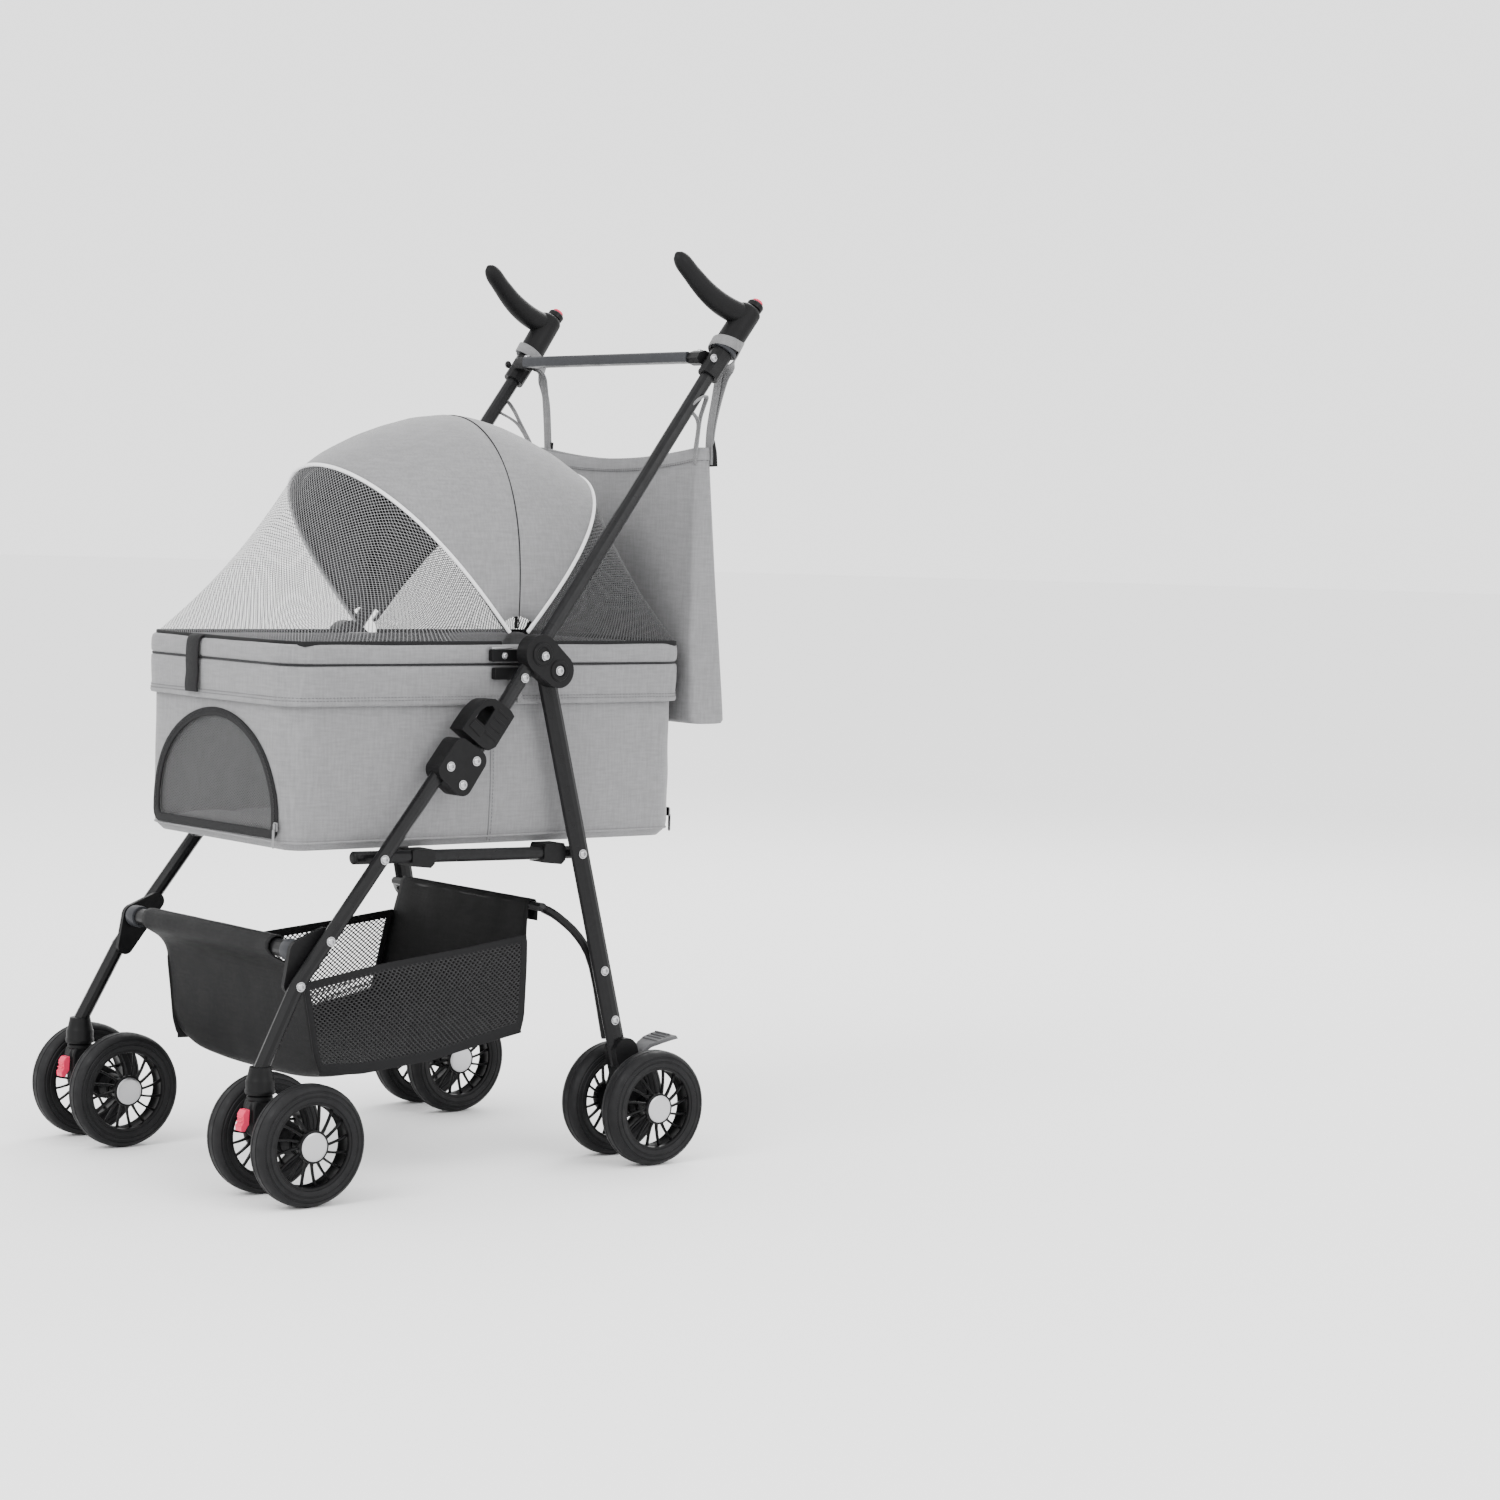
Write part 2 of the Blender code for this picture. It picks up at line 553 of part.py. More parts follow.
def basket():
    """Open storage basket slung between the front cross tube and the rear tube."""
    half, wall = BASKET_HALF_X, 0.0030
    corners_low = ((-0.2000, 0.1150), (0.0550, 0.1450))
    corners_high = ((-0.2350, 0.2350), (0.0690, 0.2600))

    def ring(inset, lift, level):
        front = Vector(corners_low[0]).lerp(Vector(corners_high[0]), level)
        rear = Vector(corners_low[1]).lerp(Vector(corners_high[1]), level)
        return [(-half + inset, front.x + inset, front.y + lift),
                (half - inset, front.x + inset, front.y + lift),
                (half - inset, rear.x - inset, rear.y + lift),
                (-half + inset, rear.x - inset, rear.y + lift)]

    rings = [ring(0.006, 0.0, 0.0), ring(0.0, 0.006, 0.0), ring(0.0, 0.0, 1.0),
             ring(wall, 0.0, 1.0), ring(wall, 0.006 + wall, 0.0), ring(0.006 + wall, wall, 0.0)]
    points, faces = loft(rings)
    add_object("basket", points, faces, "basket_fabric")


# ---------------------------------------------------------------- carrier

def door_outline(half_x, low, high):
    """A door with a flat foot and a round top, in (x, z)."""
    rise = min(half_x, high - low - 0.02)
    points = [(-half_x, low), (half_x, low)]
    for k in range(13):
        angle = math.pi * k / 12
        points.append((half_x * math.cos(angle), high - rise + rise * math.sin(angle)))
    return points


def carrier_body():
    """Soft-sided cabin, open at the top, with a door opening at each end."""
    wall = CABIN_WALL
    sizes = (CABIN_HALF_X, CABIN_FRONT, CABIN_REAR, CABIN_CORNER)

    def ring(inset, z):
        return rounded_box(sizes[0] - inset, sizes[1] + inset, sizes[2] - inset,
                           sizes[3] - inset * 0.5, z)

    rings = [ring(0.004, CABIN_BOTTOM), ring(0.0, CABIN_BOTTOM + 0.005), ring(0.0, CABIN_TOP),
             ring(wall, CABIN_TOP), ring(wall, CABIN_BOTTOM + wall)]
    points, faces = loft(rings)
    body = add_object("carrier_body", points, faces, "shell_fabric")
    low = CABIN_BOTTOM + 0.0120
    for end, top, y in (("front", FRONT_DOOR_TOP, CABIN_FRONT), ("rear", REAR_DOOR_TOP, CABIN_REAR)):
        cutter = panel(f"guide_{end}_door", door_outline(DOOR_HALF_X, low, top),
                       y - 0.02, y + 0.02, "mesh")
        boolean(body, cutter, "DIFFERENCE")
        inside = 1 if end == "front" else -1
        outline = door_outline(DOOR_HALF_X - 0.0008, low + 0.0008, top - 0.0008)
        face = y + inside * 0.0002
        panel(f"{end}_door", outline, *sorted((face, face + inside * DOOR_THICK)), "mesh",
              (0, face, low))


def carrier_rim():
    """Stiff band round the top of the cabin."""
    wall = 0.0050

    def ring(inset, z):
        return rounded_box(RIM_HALF_X - inset, RIM_FRONT + inset, RIM_REAR - inset,
                           RIM_CORNER - inset * 0.5, z)

    low = CABIN_TOP + GAP * 2
    rings = [ring(0.0005, low), ring(0.0, low + 0.004), ring(0.0, RIM_TOP - 0.003),
             ring(0.002, RIM_TOP), ring(wall + 0.006, RIM_TOP), ring(wall + 0.006, low)]
    points, faces = loft(rings, closed=True)
    add_object("carrier_rim", points, faces, "shell_fabric")


def base_mat():
    """Padded mat on the cabin floor."""
    inset = CABIN_WALL + 0.003
    low = CABIN_BOTTOM + CABIN_WALL + GAP

    def ring(extra, z):
        return rounded_box(CABIN_HALF_X - inset - extra, CABIN_FRONT + inset + extra,
                           CABIN_REAR - inset - extra, CABIN_CORNER - inset, z)

    points, faces = loft([ring(0.002, low), ring(0, low + 0.004), ring(0, low + 0.010),
                          ring(0.004, low + 0.014)])
    add_object("base_mat", points, faces, "mat")


def hoop_point(arch, turn, shrink=1.0):
    """A point on the canopy: arch is the angle round the pivot, turn runs side to side."""
    x = HOOP_HALF_X * shrink * math.cos(turn)
    reach = (HOOP_ROOT + (HOOP_REACH - HOOP_ROOT) * math.sin(turn) ** 0.85) * shrink
    return Vector((x, HOOP_PIVOT[0] + reach * math.cos(arch), HOOP_PIVOT[1] + reach * math.sin(arch)))


def turns(count):
    """Evenly spaced turns from one side of the canopy to the other."""
    return [math.pi * k / count for k in range(count + 1)]


def sheet_object(name, grid, kind, origin=(0, 0, 0)):
    """A thin closed sheet from a grid of points, thickened inwards."""
    width = len(grid[0])
    points = [p for row in grid for p in row]
    faces = []
    for r in range(len(grid) - 1):
        for c in range(width - 1):
            a = r * width + c
            faces.append((a, a + 1, a + width + 1, a + width))
    made = add_object(name, points, faces, kind, origin)
    centre = Vector((0, HOOP_PIVOT[0], HOOP_PIVOT[1])) - made.location
    outward = sum((f.normal.dot(f.center - centre) for f in made.data.polygons))
    if outward < 0:
        made.data.flip_normals()
    thick = made.modifiers.new("thickness", "SOLIDIFY")
    thick.thickness = SHEET
    thick.offset = -1.0
    thick.use_even_offset = False
    return made


def canopy():
    """Fabric hood on three hoops, with a mesh panel in front and behind."""
    pivot = (0, *HOOP_PIVOT)
    steps = turns(16)
    trim = math.radians(0.5)
    span = FRONT_ARCH - REAR_ARCH - trim * 2
    grid = [[hoop_point(REAR_ARCH + trim + span * k / 8, t) for t in steps] for k in range(9)]
    sheet_object("canopy_shell", grid, "canopy_fabric", pivot)
    for name, arch in (("front_hoop", FRONT_ARCH - math.radians(2.0)), ("mid_hoop", MID_ARCH),
                       ("rear_hoop", REAR_ARCH + math.radians(2.0))):
        path = [hoop_point(arch, t, 0.965) for t in steps]
        rings = []
        for i, here in enumerate(path):
            along = (path[min(i + 1, 16)] - path[max(i - 1, 0)]).normalized()
            side = Vector((0, -math.sin(arch), math.cos(arch)))
            up = along.cross(side).normalized()
            rings.append([here + side * a + up * b for a, b in oval(0.002, 0.002, 6)])
        points, faces = loft(rings)
        add_object(name, points, faces, "frame", pivot)
    for name, arch, end_y in (("front_mesh", FRONT_ARCH + trim, RIM_FRONT + 0.0150),
                              ("rear_mesh", REAR_ARCH - trim, RIM_REAR - 0.0150)):
        rows = []
        for k in range(4):
            level = k / 3
            row = []
            for t in steps:
                high = hoop_point(arch, t)
                across = (1 - abs(math.cos(t)) ** 5) ** 0.2
                base_y = HOOP_PIVOT[0] + (end_y - HOOP_PIVOT[0]) * max(across, 0.08)
                base_x = min(abs(math.cos(t)) * 1.35, 1.0) * (RIM_HALF_X - 0.0100)
                low = Vector((math.copysign(base_x, math.cos(t)), base_y, RIM_TOP + SHEET + 0.001))
                row.append(high.lerp(low, level))
            rows.append(row)
        sheet_object(name, rows, "mesh", pivot)


def carrier_clips():
    """Brackets on the rim that hook the carrier to the hubs and hold the hoops."""
    for side, sign in SIDES:
        low, high = sorted((sign * (RIM_HALF_X + GAP * 2), sign * (RIM_HALF_X + 0.0060)))
        outline = [(0.0080, 0.5340), (0.0300, 0.5300), (0.0420, 0.5360), (0.0440, 0.5600),
                   (0.0380, 0.5690), (0.0120, 0.5670), (0.0070, 0.5600)]
        plate(f"carrier_clip_{side}", outline, low, high, "plastic")


# ---------------------------------------------------------------- build

def main():
    """Clear the scene and build every piece."""
    for old in list(bpy.data.objects):
        bpy.data.objects.remove(old, do_unlink=True)
    wheels()
    casters()
    front_legs()
    knuckles()
    front_cross_tube()
    handle_tubes()
    hubs()
    latches()
    grips()
    bag()
    side_links()
    rear_legs()
    rear_basket_tube()
    basket()
    carrier_body()
    carrier_rim()
    base_mat()
    canopy()
    carrier_clips()


main()
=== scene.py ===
"""Looks of a folding pet stroller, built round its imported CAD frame.

The frame is in metres: +Z is up, -Y is the direction of travel, and +X is the side called right.
"""

import json
import logging
import math
from dataclasses import dataclass
from enum import Enum
from typing import Callable, Sequence

import bmesh
import bpy
from mathutils import Matrix, Vector, noise

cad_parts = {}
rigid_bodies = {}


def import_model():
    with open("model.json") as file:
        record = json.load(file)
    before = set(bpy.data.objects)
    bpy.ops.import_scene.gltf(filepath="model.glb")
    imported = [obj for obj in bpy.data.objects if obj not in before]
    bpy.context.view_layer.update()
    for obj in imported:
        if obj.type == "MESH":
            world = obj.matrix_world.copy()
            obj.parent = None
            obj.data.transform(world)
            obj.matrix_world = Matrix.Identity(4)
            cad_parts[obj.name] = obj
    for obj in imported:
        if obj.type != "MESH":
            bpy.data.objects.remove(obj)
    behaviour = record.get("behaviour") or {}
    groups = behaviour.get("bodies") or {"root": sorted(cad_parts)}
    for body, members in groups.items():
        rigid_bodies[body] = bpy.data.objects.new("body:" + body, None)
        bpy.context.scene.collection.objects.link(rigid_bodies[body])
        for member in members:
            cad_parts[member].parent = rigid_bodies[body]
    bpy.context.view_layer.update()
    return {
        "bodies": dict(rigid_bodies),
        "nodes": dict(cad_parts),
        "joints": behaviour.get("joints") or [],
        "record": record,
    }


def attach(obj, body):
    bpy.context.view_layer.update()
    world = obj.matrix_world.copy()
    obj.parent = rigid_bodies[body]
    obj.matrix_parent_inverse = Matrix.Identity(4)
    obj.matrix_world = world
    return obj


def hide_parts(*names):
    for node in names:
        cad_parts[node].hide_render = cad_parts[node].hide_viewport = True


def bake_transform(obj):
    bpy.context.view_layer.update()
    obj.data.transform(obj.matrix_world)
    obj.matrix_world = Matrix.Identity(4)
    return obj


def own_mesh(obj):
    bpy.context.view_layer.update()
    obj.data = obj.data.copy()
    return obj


LOG = logging.getLogger("stroller")
Colour = tuple[float, float, float]
Path = list[Vector]
Section = list[tuple[float, float]]


class Side(Enum):
    """The two sides of the stroller, by the sign of X."""

    LEFT = -1
    RIGHT = 1

    @property
    def tag(self) -> str:
        """The word that the CAD names end with."""
        return self.name.lower()

    def at(self, x: float, y: float, z: float) -> Vector:
        """A point given for the right side, on this side."""
        return Vector((self.value * x, y, z))


class Slot(Enum):
    """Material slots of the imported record."""

    FRAME = "frame"
    PLASTIC = "plastic"
    BAR = "bar"
    TYRE = "tyre"
    RED = "red"
    PEDAL = "pedal"
    SHELL = "shell_fabric"
    CANOPY = "canopy_fabric"
    MESH = "mesh"
    BASKET = "basket_fabric"
    MAT = "mat"
    PIPING = "piping"
    STEEL = "steel"
    CAP = "cap"
    TRIM = "trim_grey"
    LINING = "lining"
    STRAP = "strap"
    BASKET_NET = "basket_mesh"


# ---------------------------------------------------------------- finishes


class Graph:
    """The nodes of one material."""

    def __init__(self, name: str) -> None:
        """Start a material with a plain Principled shader.

        Args:
            name: the material's name.
        """
        self.material = bpy.data.materials.new(name)
        self.material.use_nodes = True
        self.tree = self.material.node_tree
        self.shader = self.tree.nodes["Principled BSDF"]
        self.place = self.tree.nodes.new("ShaderNodeTexCoord")

    def join(self, value: object, socket: bpy.types.NodeSocket) -> None:
        """Link a socket to an input, or set the input to a number or colour.

        Args:
            value: an output socket, a number or a tuple.
            socket: the input.
        """
        if isinstance(value, bpy.types.NodeSocket):
            self.tree.links.new(value, socket)
        else:
            socket.default_value = value

    def math(self, operation: str, first: object, second: object = 0.0) -> bpy.types.NodeSocket:
        """One arithmetic step.

        Args:
            operation: Blender's name of it.
            first: the first value or socket.
            second: the second value or socket.

        Returns:
            The result's socket.
        """
        step = self.tree.nodes.new("ShaderNodeMath")
        step.operation = operation
        self.join(first, step.inputs[0])
        self.join(second, step.inputs[1])
        return step.outputs[0]

    def spread(self, source: object, low: float, high: float, start: float = 0.3,
               end: float = 0.7, smooth: bool = False) -> bpy.types.NodeSocket:
        """Map a value from one range to another.

        Args:
            source: the value's socket.
            low: the result at start.
            high: the result at end.
            start: where the range begins.
            end: where the range ends.
            smooth: whether the ends ease in and out.

        Returns:
            The mapped socket.
        """
        step = self.tree.nodes.new("ShaderNodeMapRange")
        step.interpolation_type = "SMOOTHSTEP" if smooth else "LINEAR"
        self.join(source, step.inputs["Value"])
        for name, value in (("From Min", start), ("From Max", end), ("To Min", low), ("To Max", high)):
            step.inputs[name].default_value = value
        return step.outputs["Result"]

    def noise(self, scale: float, detail: float = 3.0,
              stretch: Sequence[float] = (1.0, 1.0, 1.0)) -> bpy.types.NodeSocket:
        """Noise in the piece's own coordinates.

        Args:
            scale: waves per metre.
            detail: how many finer layers it has.
            stretch: a factor for each axis.

        Returns:
            The noise's value socket.
        """
        source = self.place.outputs["Object"]
        if tuple(stretch) != (1.0, 1.0, 1.0):
            mapping = self.tree.nodes.new("ShaderNodeMapping")
            mapping.inputs["Scale"].default_value = stretch
            self.join(source, mapping.inputs["Vector"])
            source = mapping.outputs["Vector"]
        step = self.tree.nodes.new("ShaderNodeTexNoise")
        step.inputs["Scale"].default_value = scale
        step.inputs["Detail"].default_value = detail
        self.join(source, step.inputs["Vector"])
        return step.outputs["Fac"]

    def tint(self, factor: object, first: Colour, second: Colour) -> bpy.types.NodeSocket:
        """Mix two colours.

        Args:
            factor: the share of the second, as a socket.
            first: the colour at 0.
            second: the colour at 1.

        Returns:
            The colour's socket.
        """
        step = self.tree.nodes.new("ShaderNodeMix")
        step.data_type = "RGBA"
        self.join(factor, step.inputs["Factor"])
        for socket in step.inputs:
            if socket.type == "RGBA":
                socket.default_value = (*(first if socket.identifier.startswith("A") else second), 1.0)
        return next(s for s in step.outputs if s.type == "RGBA")

    def over(self, factor: object, under: object, colour: Colour) -> bpy.types.NodeSocket:
        """Lay a colour over a coloured socket.

        Args:
            factor: the share of the new colour.
            under: the socket below.
            colour: the new colour.

        Returns:
            The colour's socket.
        """
        step = self.tree.nodes.new("ShaderNodeMix")
        step.data_type = "RGBA"
        self.join(factor, step.inputs["Factor"])
        colours = [s for s in step.inputs if s.type == "RGBA"]
        self.join(under, colours[0])
        colours[1].default_value = (*colour, 1.0)
        return next(s for s in step.outputs if s.type == "RGBA")

    def bump(self, height: object, distance: float, strength: float = 0.6,
             after: object = None) -> bpy.types.NodeSocket:
        """A bump from a height.

        Args:
            height: the height's socket.
            distance: how deep it is, in metres.
            strength: how much of it shows.
            after: another bump's normal to add to.

        Returns:
            The normal's socket.
        """
        step = self.tree.nodes.new("ShaderNodeBump")
        step.inputs["Distance"].default_value = distance
        step.inputs["Strength"].default_value = strength
        self.join(height, step.inputs["Height"])
        if after is not None:
            self.join(after, step.inputs["Normal"])
        return step.outputs["Normal"]

    def worn_edges(self, low: float = 0.52, high: float = 0.62) -> bpy.types.NodeSocket:
        """A mask of the outer edges, broken up by noise."""
        geometry = self.tree.nodes.new("ShaderNodeNewGeometry")
        edge = self.spread(geometry.outputs["Pointiness"], 0.0, 1.0, low, high)
        return self.math("MULTIPLY", edge, self.spread(self.noise(160.0), 0.2, 1.0))

    def weave(self, pitch: float) -> bpy.types.NodeSocket:
        """Height of a plain weave, along the two directions that lie in the surface.

        Args:
            pitch: the width of one thread, in metres.

        Returns:
            The height's socket, from -1 to 1.
        """
        where = self.tree.nodes.new("ShaderNodeSeparateXYZ")
        self.join(self.place.outputs["Object"], where.inputs[0])
        facing = self.tree.nodes.new("ShaderNodeSeparateXYZ")
        self.join(self.place.outputs["Normal"], facing.inputs[0])
        waves = [self.math("SINE", self.math("MULTIPLY", axis, math.pi / pitch)) for axis in where.outputs]
        total: object = 0.0
        for k in range(3):
            both = self.math("MULTIPLY", waves[(k + 1) % 3], waves[(k + 2) % 3])
            share = self.math("MULTIPLY", facing.outputs[k], facing.outputs[k])
            total = self.math("ADD", total, self.math("MULTIPLY", both, share))
        return total


@dataclass(frozen=True)
class Finish:
    """What a surface is made of: its colour and how rough and metallic it is."""

    name: str
    colour: Colour
    roughness: float = 0.5
    metallic: float = 0.0

    def material(self) -> bpy.types.Material:
        """The finish as a material, made once."""
        found = bpy.data.materials.get(self.name)
        if found:
            return found
        graph = Graph(self.name)
        graph.shader.inputs["Metallic"].default_value = self.metallic
        self.dress(graph)
        return graph.material

    def scaled(self, factor: float) -> Colour:
        """The colour made darker or lighter."""
        return tuple(min(c * factor, 1.0) for c in self.colour)

    def dress(self, graph: Graph) -> None:
        """Add the nodes of this finish.

        Args:
            graph: the material's nodes.
        """
        raise NotImplementedError


@dataclass(frozen=True)
class Paint(Finish):
    """Powder coat on steel tube: fine orange peel, and brighter along its outer edges."""

    def dress(self, graph: Graph) -> None:
        """Add the nodes of the paint."""
        soft = graph.noise(14.0, 4.0)
        colour = graph.tint(soft, self.scaled(0.75), self.scaled(1.35))
        colour = graph.over(graph.math("MULTIPLY", graph.worn_edges(), 0.35), colour, self.scaled(4.0))
        graph.join(colour, graph.shader.inputs["Base Color"])
        rough = graph.spread(graph.noise(55.0, 5.0), self.roughness - 0.06, self.roughness + 0.10)
        graph.join(rough, graph.shader.inputs["Roughness"])
        graph.shader.inputs["Specular IOR Level"].default_value = 0.12
        graph.shader.inputs["Coat Weight"].default_value = 0.08
        graph.shader.inputs["Coat Roughness"].default_value = 0.25
        peel = graph.bump(graph.noise(900.0, 2.0), 0.00006, 0.5)
        graph.join(peel, graph.shader.inputs["Normal"])


@dataclass(frozen=True)
class Moulded(Finish):
    """Moulded plastic with a fine spark-eroded grain and lighter edges."""

    grain: float = 1400.0
    depth: float = 0.00010

    def dress(self, graph: Graph) -> None:
        """Add the nodes of the plastic."""
        soft = graph.noise(22.0, 4.0)
        colour = graph.tint(soft, self.scaled(0.82), self.scaled(1.22))
        edges = graph.math("MULTIPLY", graph.worn_edges(), 0.30)
        light = tuple(min(c * 2.2 + 0.006, 1.0) for c in self.colour)
        graph.join(graph.over(edges, colour, light), graph.shader.inputs["Base Color"])
        graph.shader.inputs["Specular IOR Level"].default_value = 0.12
        rough = graph.spread(graph.noise(70.0, 5.0), self.roughness - 0.07, self.roughness + 0.09)
        graph.join(rough, graph.shader.inputs["Roughness"])
        graph.join(graph.bump(graph.noise(self.grain, 2.0), self.depth, 0.55), graph.shader.inputs["Normal"])


@dataclass(frozen=True)
class Rubber(Finish):
    """Tyre rubber with scuffs and a little dust."""

    def dress(self, graph: Graph) -> None:
        """Add the nodes of the rubber."""
        dust = graph.spread(graph.noise(38.0, 8.0), 0.0, 0.55, 0.45, 0.8)
        colour = graph.tint(graph.noise(90.0, 4.0), self.scaled(0.8), self.scaled(1.3))
        colour = graph.over(dust, colour, self.scaled(2.1))
        graph.join(colour, graph.shader.inputs["Base Color"])
        graph.shader.inputs["Specular IOR Level"].default_value = 0.16
        rough = graph.spread(graph.noise(120.0, 6.0), self.roughness - 0.1, self.roughness + 0.12)
        graph.join(rough, graph.shader.inputs["Roughness"])
        fine = graph.bump(graph.noise(1100.0, 3.0), 0.00012, 0.6)
        graph.join(graph.bump(graph.noise(160.0, 4.0), 0.0003, 0.3, fine), graph.shader.inputs["Normal"])


@dataclass(frozen=True)
class Cloth(Finish):
    """Woven cloth with mixed thread tones, painted shade in the gaps between threads, soft creases and a
    little sheen.
    """

    pitch: float = 0.0008
    mottle: float = 0.12
    crease: float = 0.0012
    sheen: float = 0.25
    thread: float = 0.00022

    def dress(self, graph: Graph) -> None:
        """Add the nodes of the cloth."""
        weave = graph.weave(self.pitch)
        warp = graph.noise(420.0, 3.0, (1.0, 1.0, 0.12))
        weft = graph.noise(420.0, 3.0, (0.12, 0.12, 1.0))
        heather = graph.math("MULTIPLY", graph.math("ADD", warp, weft), 0.5)
        colour = graph.tint(graph.spread(heather, 0.0, 1.0, 0.38, 0.62),
                            self.scaled(1.0 - self.mottle), self.scaled(1.0 + self.mottle))
        # Painted shade: the weave's low gaps between threads are darkened towards 0.62 of the colour.
        thread_gap_shade = graph.spread(weave, 0.35, 0.0, -0.9, 0.1)
        colour = graph.over(thread_gap_shade, colour, self.scaled(0.62))
        broad = graph.spread(graph.noise(7.0, 3.0), 0.0, 0.16)
        colour = graph.over(broad, colour, self.scaled(0.72))
        graph.join(colour, graph.shader.inputs["Base Color"])
        rough = graph.spread(heather, self.roughness - 0.06, min(self.roughness + 0.08, 1.0), 0.3, 0.7)
        graph.join(rough, graph.shader.inputs["Roughness"])
        graph.shader.inputs["Sheen Weight"].default_value = self.sheen
        graph.shader.inputs["Sheen Roughness"].default_value = 0.45
        graph.shader.inputs["Specular IOR Level"].default_value = 0.14
        threads = graph.bump(weave, self.thread, 0.5)
        folds = graph.bump(graph.noise(16.0, 3.0, (1.0, 1.0, 0.6)), self.crease, 0.55, threads)
        graph.join(folds, graph.shader.inputs["Normal"])


@dataclass(frozen=True)
class Net(Finish):
    """Fine knitted net: round holes in slanted rows, seen through between the threads."""

    pitch: float = 0.0032
    hole: float = 0.12

    def dress(self, graph: Graph) -> None:
        """Add the nodes of the net, which reads the sheet's own flat coordinates."""
        flat = graph.tree.nodes.new("ShaderNodeSeparateXYZ")
        graph.join(graph.place.outputs["UV"], flat.inputs[0])
        along = graph.math("ADD", flat.outputs[0], flat.outputs[1])
        across = graph.math("SUBTRACT", flat.outputs[0], flat.outputs[1])
        turn = math.pi / (self.pitch * math.sqrt(2.0))
        waves = [graph.math("SINE", graph.math("MULTIPLY", way, turn)) for way in (along, across)]
        squares = [graph.math("MULTIPLY", wave, wave) for wave in waves]
        field = graph.math("MULTIPLY", squares[0], squares[1])
        solid = graph.spread(field, 1.0, 0.0, self.hole * 0.75, self.hole * 1.3, True)
        graph.join(solid, graph.shader.inputs["Alpha"])
        tone = graph.tint(graph.noise(600.0, 2.0), self.scaled(0.7), self.scaled(1.4))
        graph.join(tone, graph.shader.inputs["Base Color"])
        graph.join(graph.spread(graph.noise(90.0), self.roughness - 0.05, self.roughness + 0.08),
                   graph.shader.inputs["Roughness"])
        graph.shader.inputs["Sheen Weight"].default_value = 0.2
        graph.join(graph.bump(field, 0.0004, 0.5), graph.shader.inputs["Normal"])


@dataclass(frozen=True)
class Metal(Finish):
    """Bare or plated metal with fine brushing."""

    brush: Sequence[float] = (0.25, 1.0, 4.0)

    def dress(self, graph: Graph) -> None:
        """Add the nodes of the metal."""
        lines = graph.noise(520.0, 3.0, self.brush)
        graph.join(graph.tint(lines, self.scaled(0.86), self.scaled(1.08)), graph.shader.inputs["Base Color"])
        graph.join(graph.spread(lines, self.roughness - 0.06, self.roughness + 0.10),
                   graph.shader.inputs["Roughness"])
        graph.join(graph.bump(lines, 0.00004, 0.4), graph.shader.inputs["Normal"])


@dataclass(frozen=True)
class StageFloor(Finish):
    """A plain pale floor."""

    def dress(self, graph: Graph) -> None:
        """Add the nodes of the floor."""
        graph.join(graph.tint(graph.noise(0.8, 3.0), self.scaled(0.99), self.scaled(1.0)),
                   graph.shader.inputs["Base Color"])
        graph.shader.inputs["Roughness"].default_value = self.roughness


TUBE_PAINT = Paint("black tube paint", (0.0035, 0.0035, 0.0038), 0.30)
BLACK_PLASTIC = Moulded("black joint plastic", (0.0040, 0.0040, 0.0043), 0.42)
GRIP_PLASTIC = Moulded("black grip foam", (0.0045, 0.0045, 0.0048), 0.50, 0.0, 900.0, 0.00022)
BAR_PLASTIC = Moulded("dark grey bar", (0.022, 0.023, 0.026), 0.36)
RIM_PLASTIC = Moulded("black wheel rim", (0.0040, 0.0040, 0.0043), 0.34)
TYRE_RUBBER = Rubber("charcoal tyre", (0.0060, 0.0060, 0.0065), 0.55)
RED_PLASTIC = Moulded("crimson button", (0.58, 0.030, 0.080), 0.34, 0.0, 1400.0, 0.00004)
PEDAL_PLASTIC = Moulded("grey pedal", (0.085, 0.085, 0.088), 0.46)
SHELL_CLOTH = Cloth("light grey cloth", (0.185, 0.185, 0.189), 0.82)
HOOD_CLOTH = Cloth("light grey hood cloth", (0.190, 0.190, 0.194), 0.80)
# Painted shade: the lining is the shell's grey cloth made about half as bright, standing for the shade inside
# the hood and the cabin.
SHADED_LINING_CLOTH = Cloth("dark grey lining", (0.095, 0.095, 0.098), 0.86)
SLEEVE_CLOTH = Cloth("charcoal sleeve", (0.032, 0.032, 0.034), 0.80, 0.0, 0.0010, 0.15, 0.0006, 0.05)
TRIM_CLOTH = Cloth("charcoal binding", (0.0090, 0.0090, 0.0096), 0.75, 0.0, 0.0010, 0.15, 0.0004, 0.03,
                   0.0003)
MAT_CLOTH = Cloth("mat cloth", (0.16, 0.16, 0.165), 0.88, 0.0, 0.0012, 0.14, 0.002, 0.35)
BASKET_CLOTH = Cloth("black basket cloth", (0.0050, 0.0050, 0.0054), 0.62, 0.0, 0.0009, 0.2, 0.0006, 0.01)
STRAP_WEB = Cloth("light grey webbing", (0.155, 0.155, 0.158), 0.75, 0.0, 0.0016, 0.12, 0.0003, 0.2, 0.0004)
PIPING_CLOTH = Cloth("white piping", (0.72, 0.72, 0.73), 0.42, 0.0, 0.0009, 0.04, 0.0002, 0.1, 0.0001)
HOOD_NET = Net("hood net", (0.13, 0.13, 0.134), 0.7, 0.0, 0.0034, 0.040)
REAR_NET = Net("rear net", (0.016, 0.016, 0.017), 0.7, 0.0, 0.0030, 0.22)
DOOR_NET = Net("door net", (0.018, 0.018, 0.019), 0.7, 0.0, 0.0024, 0.30)
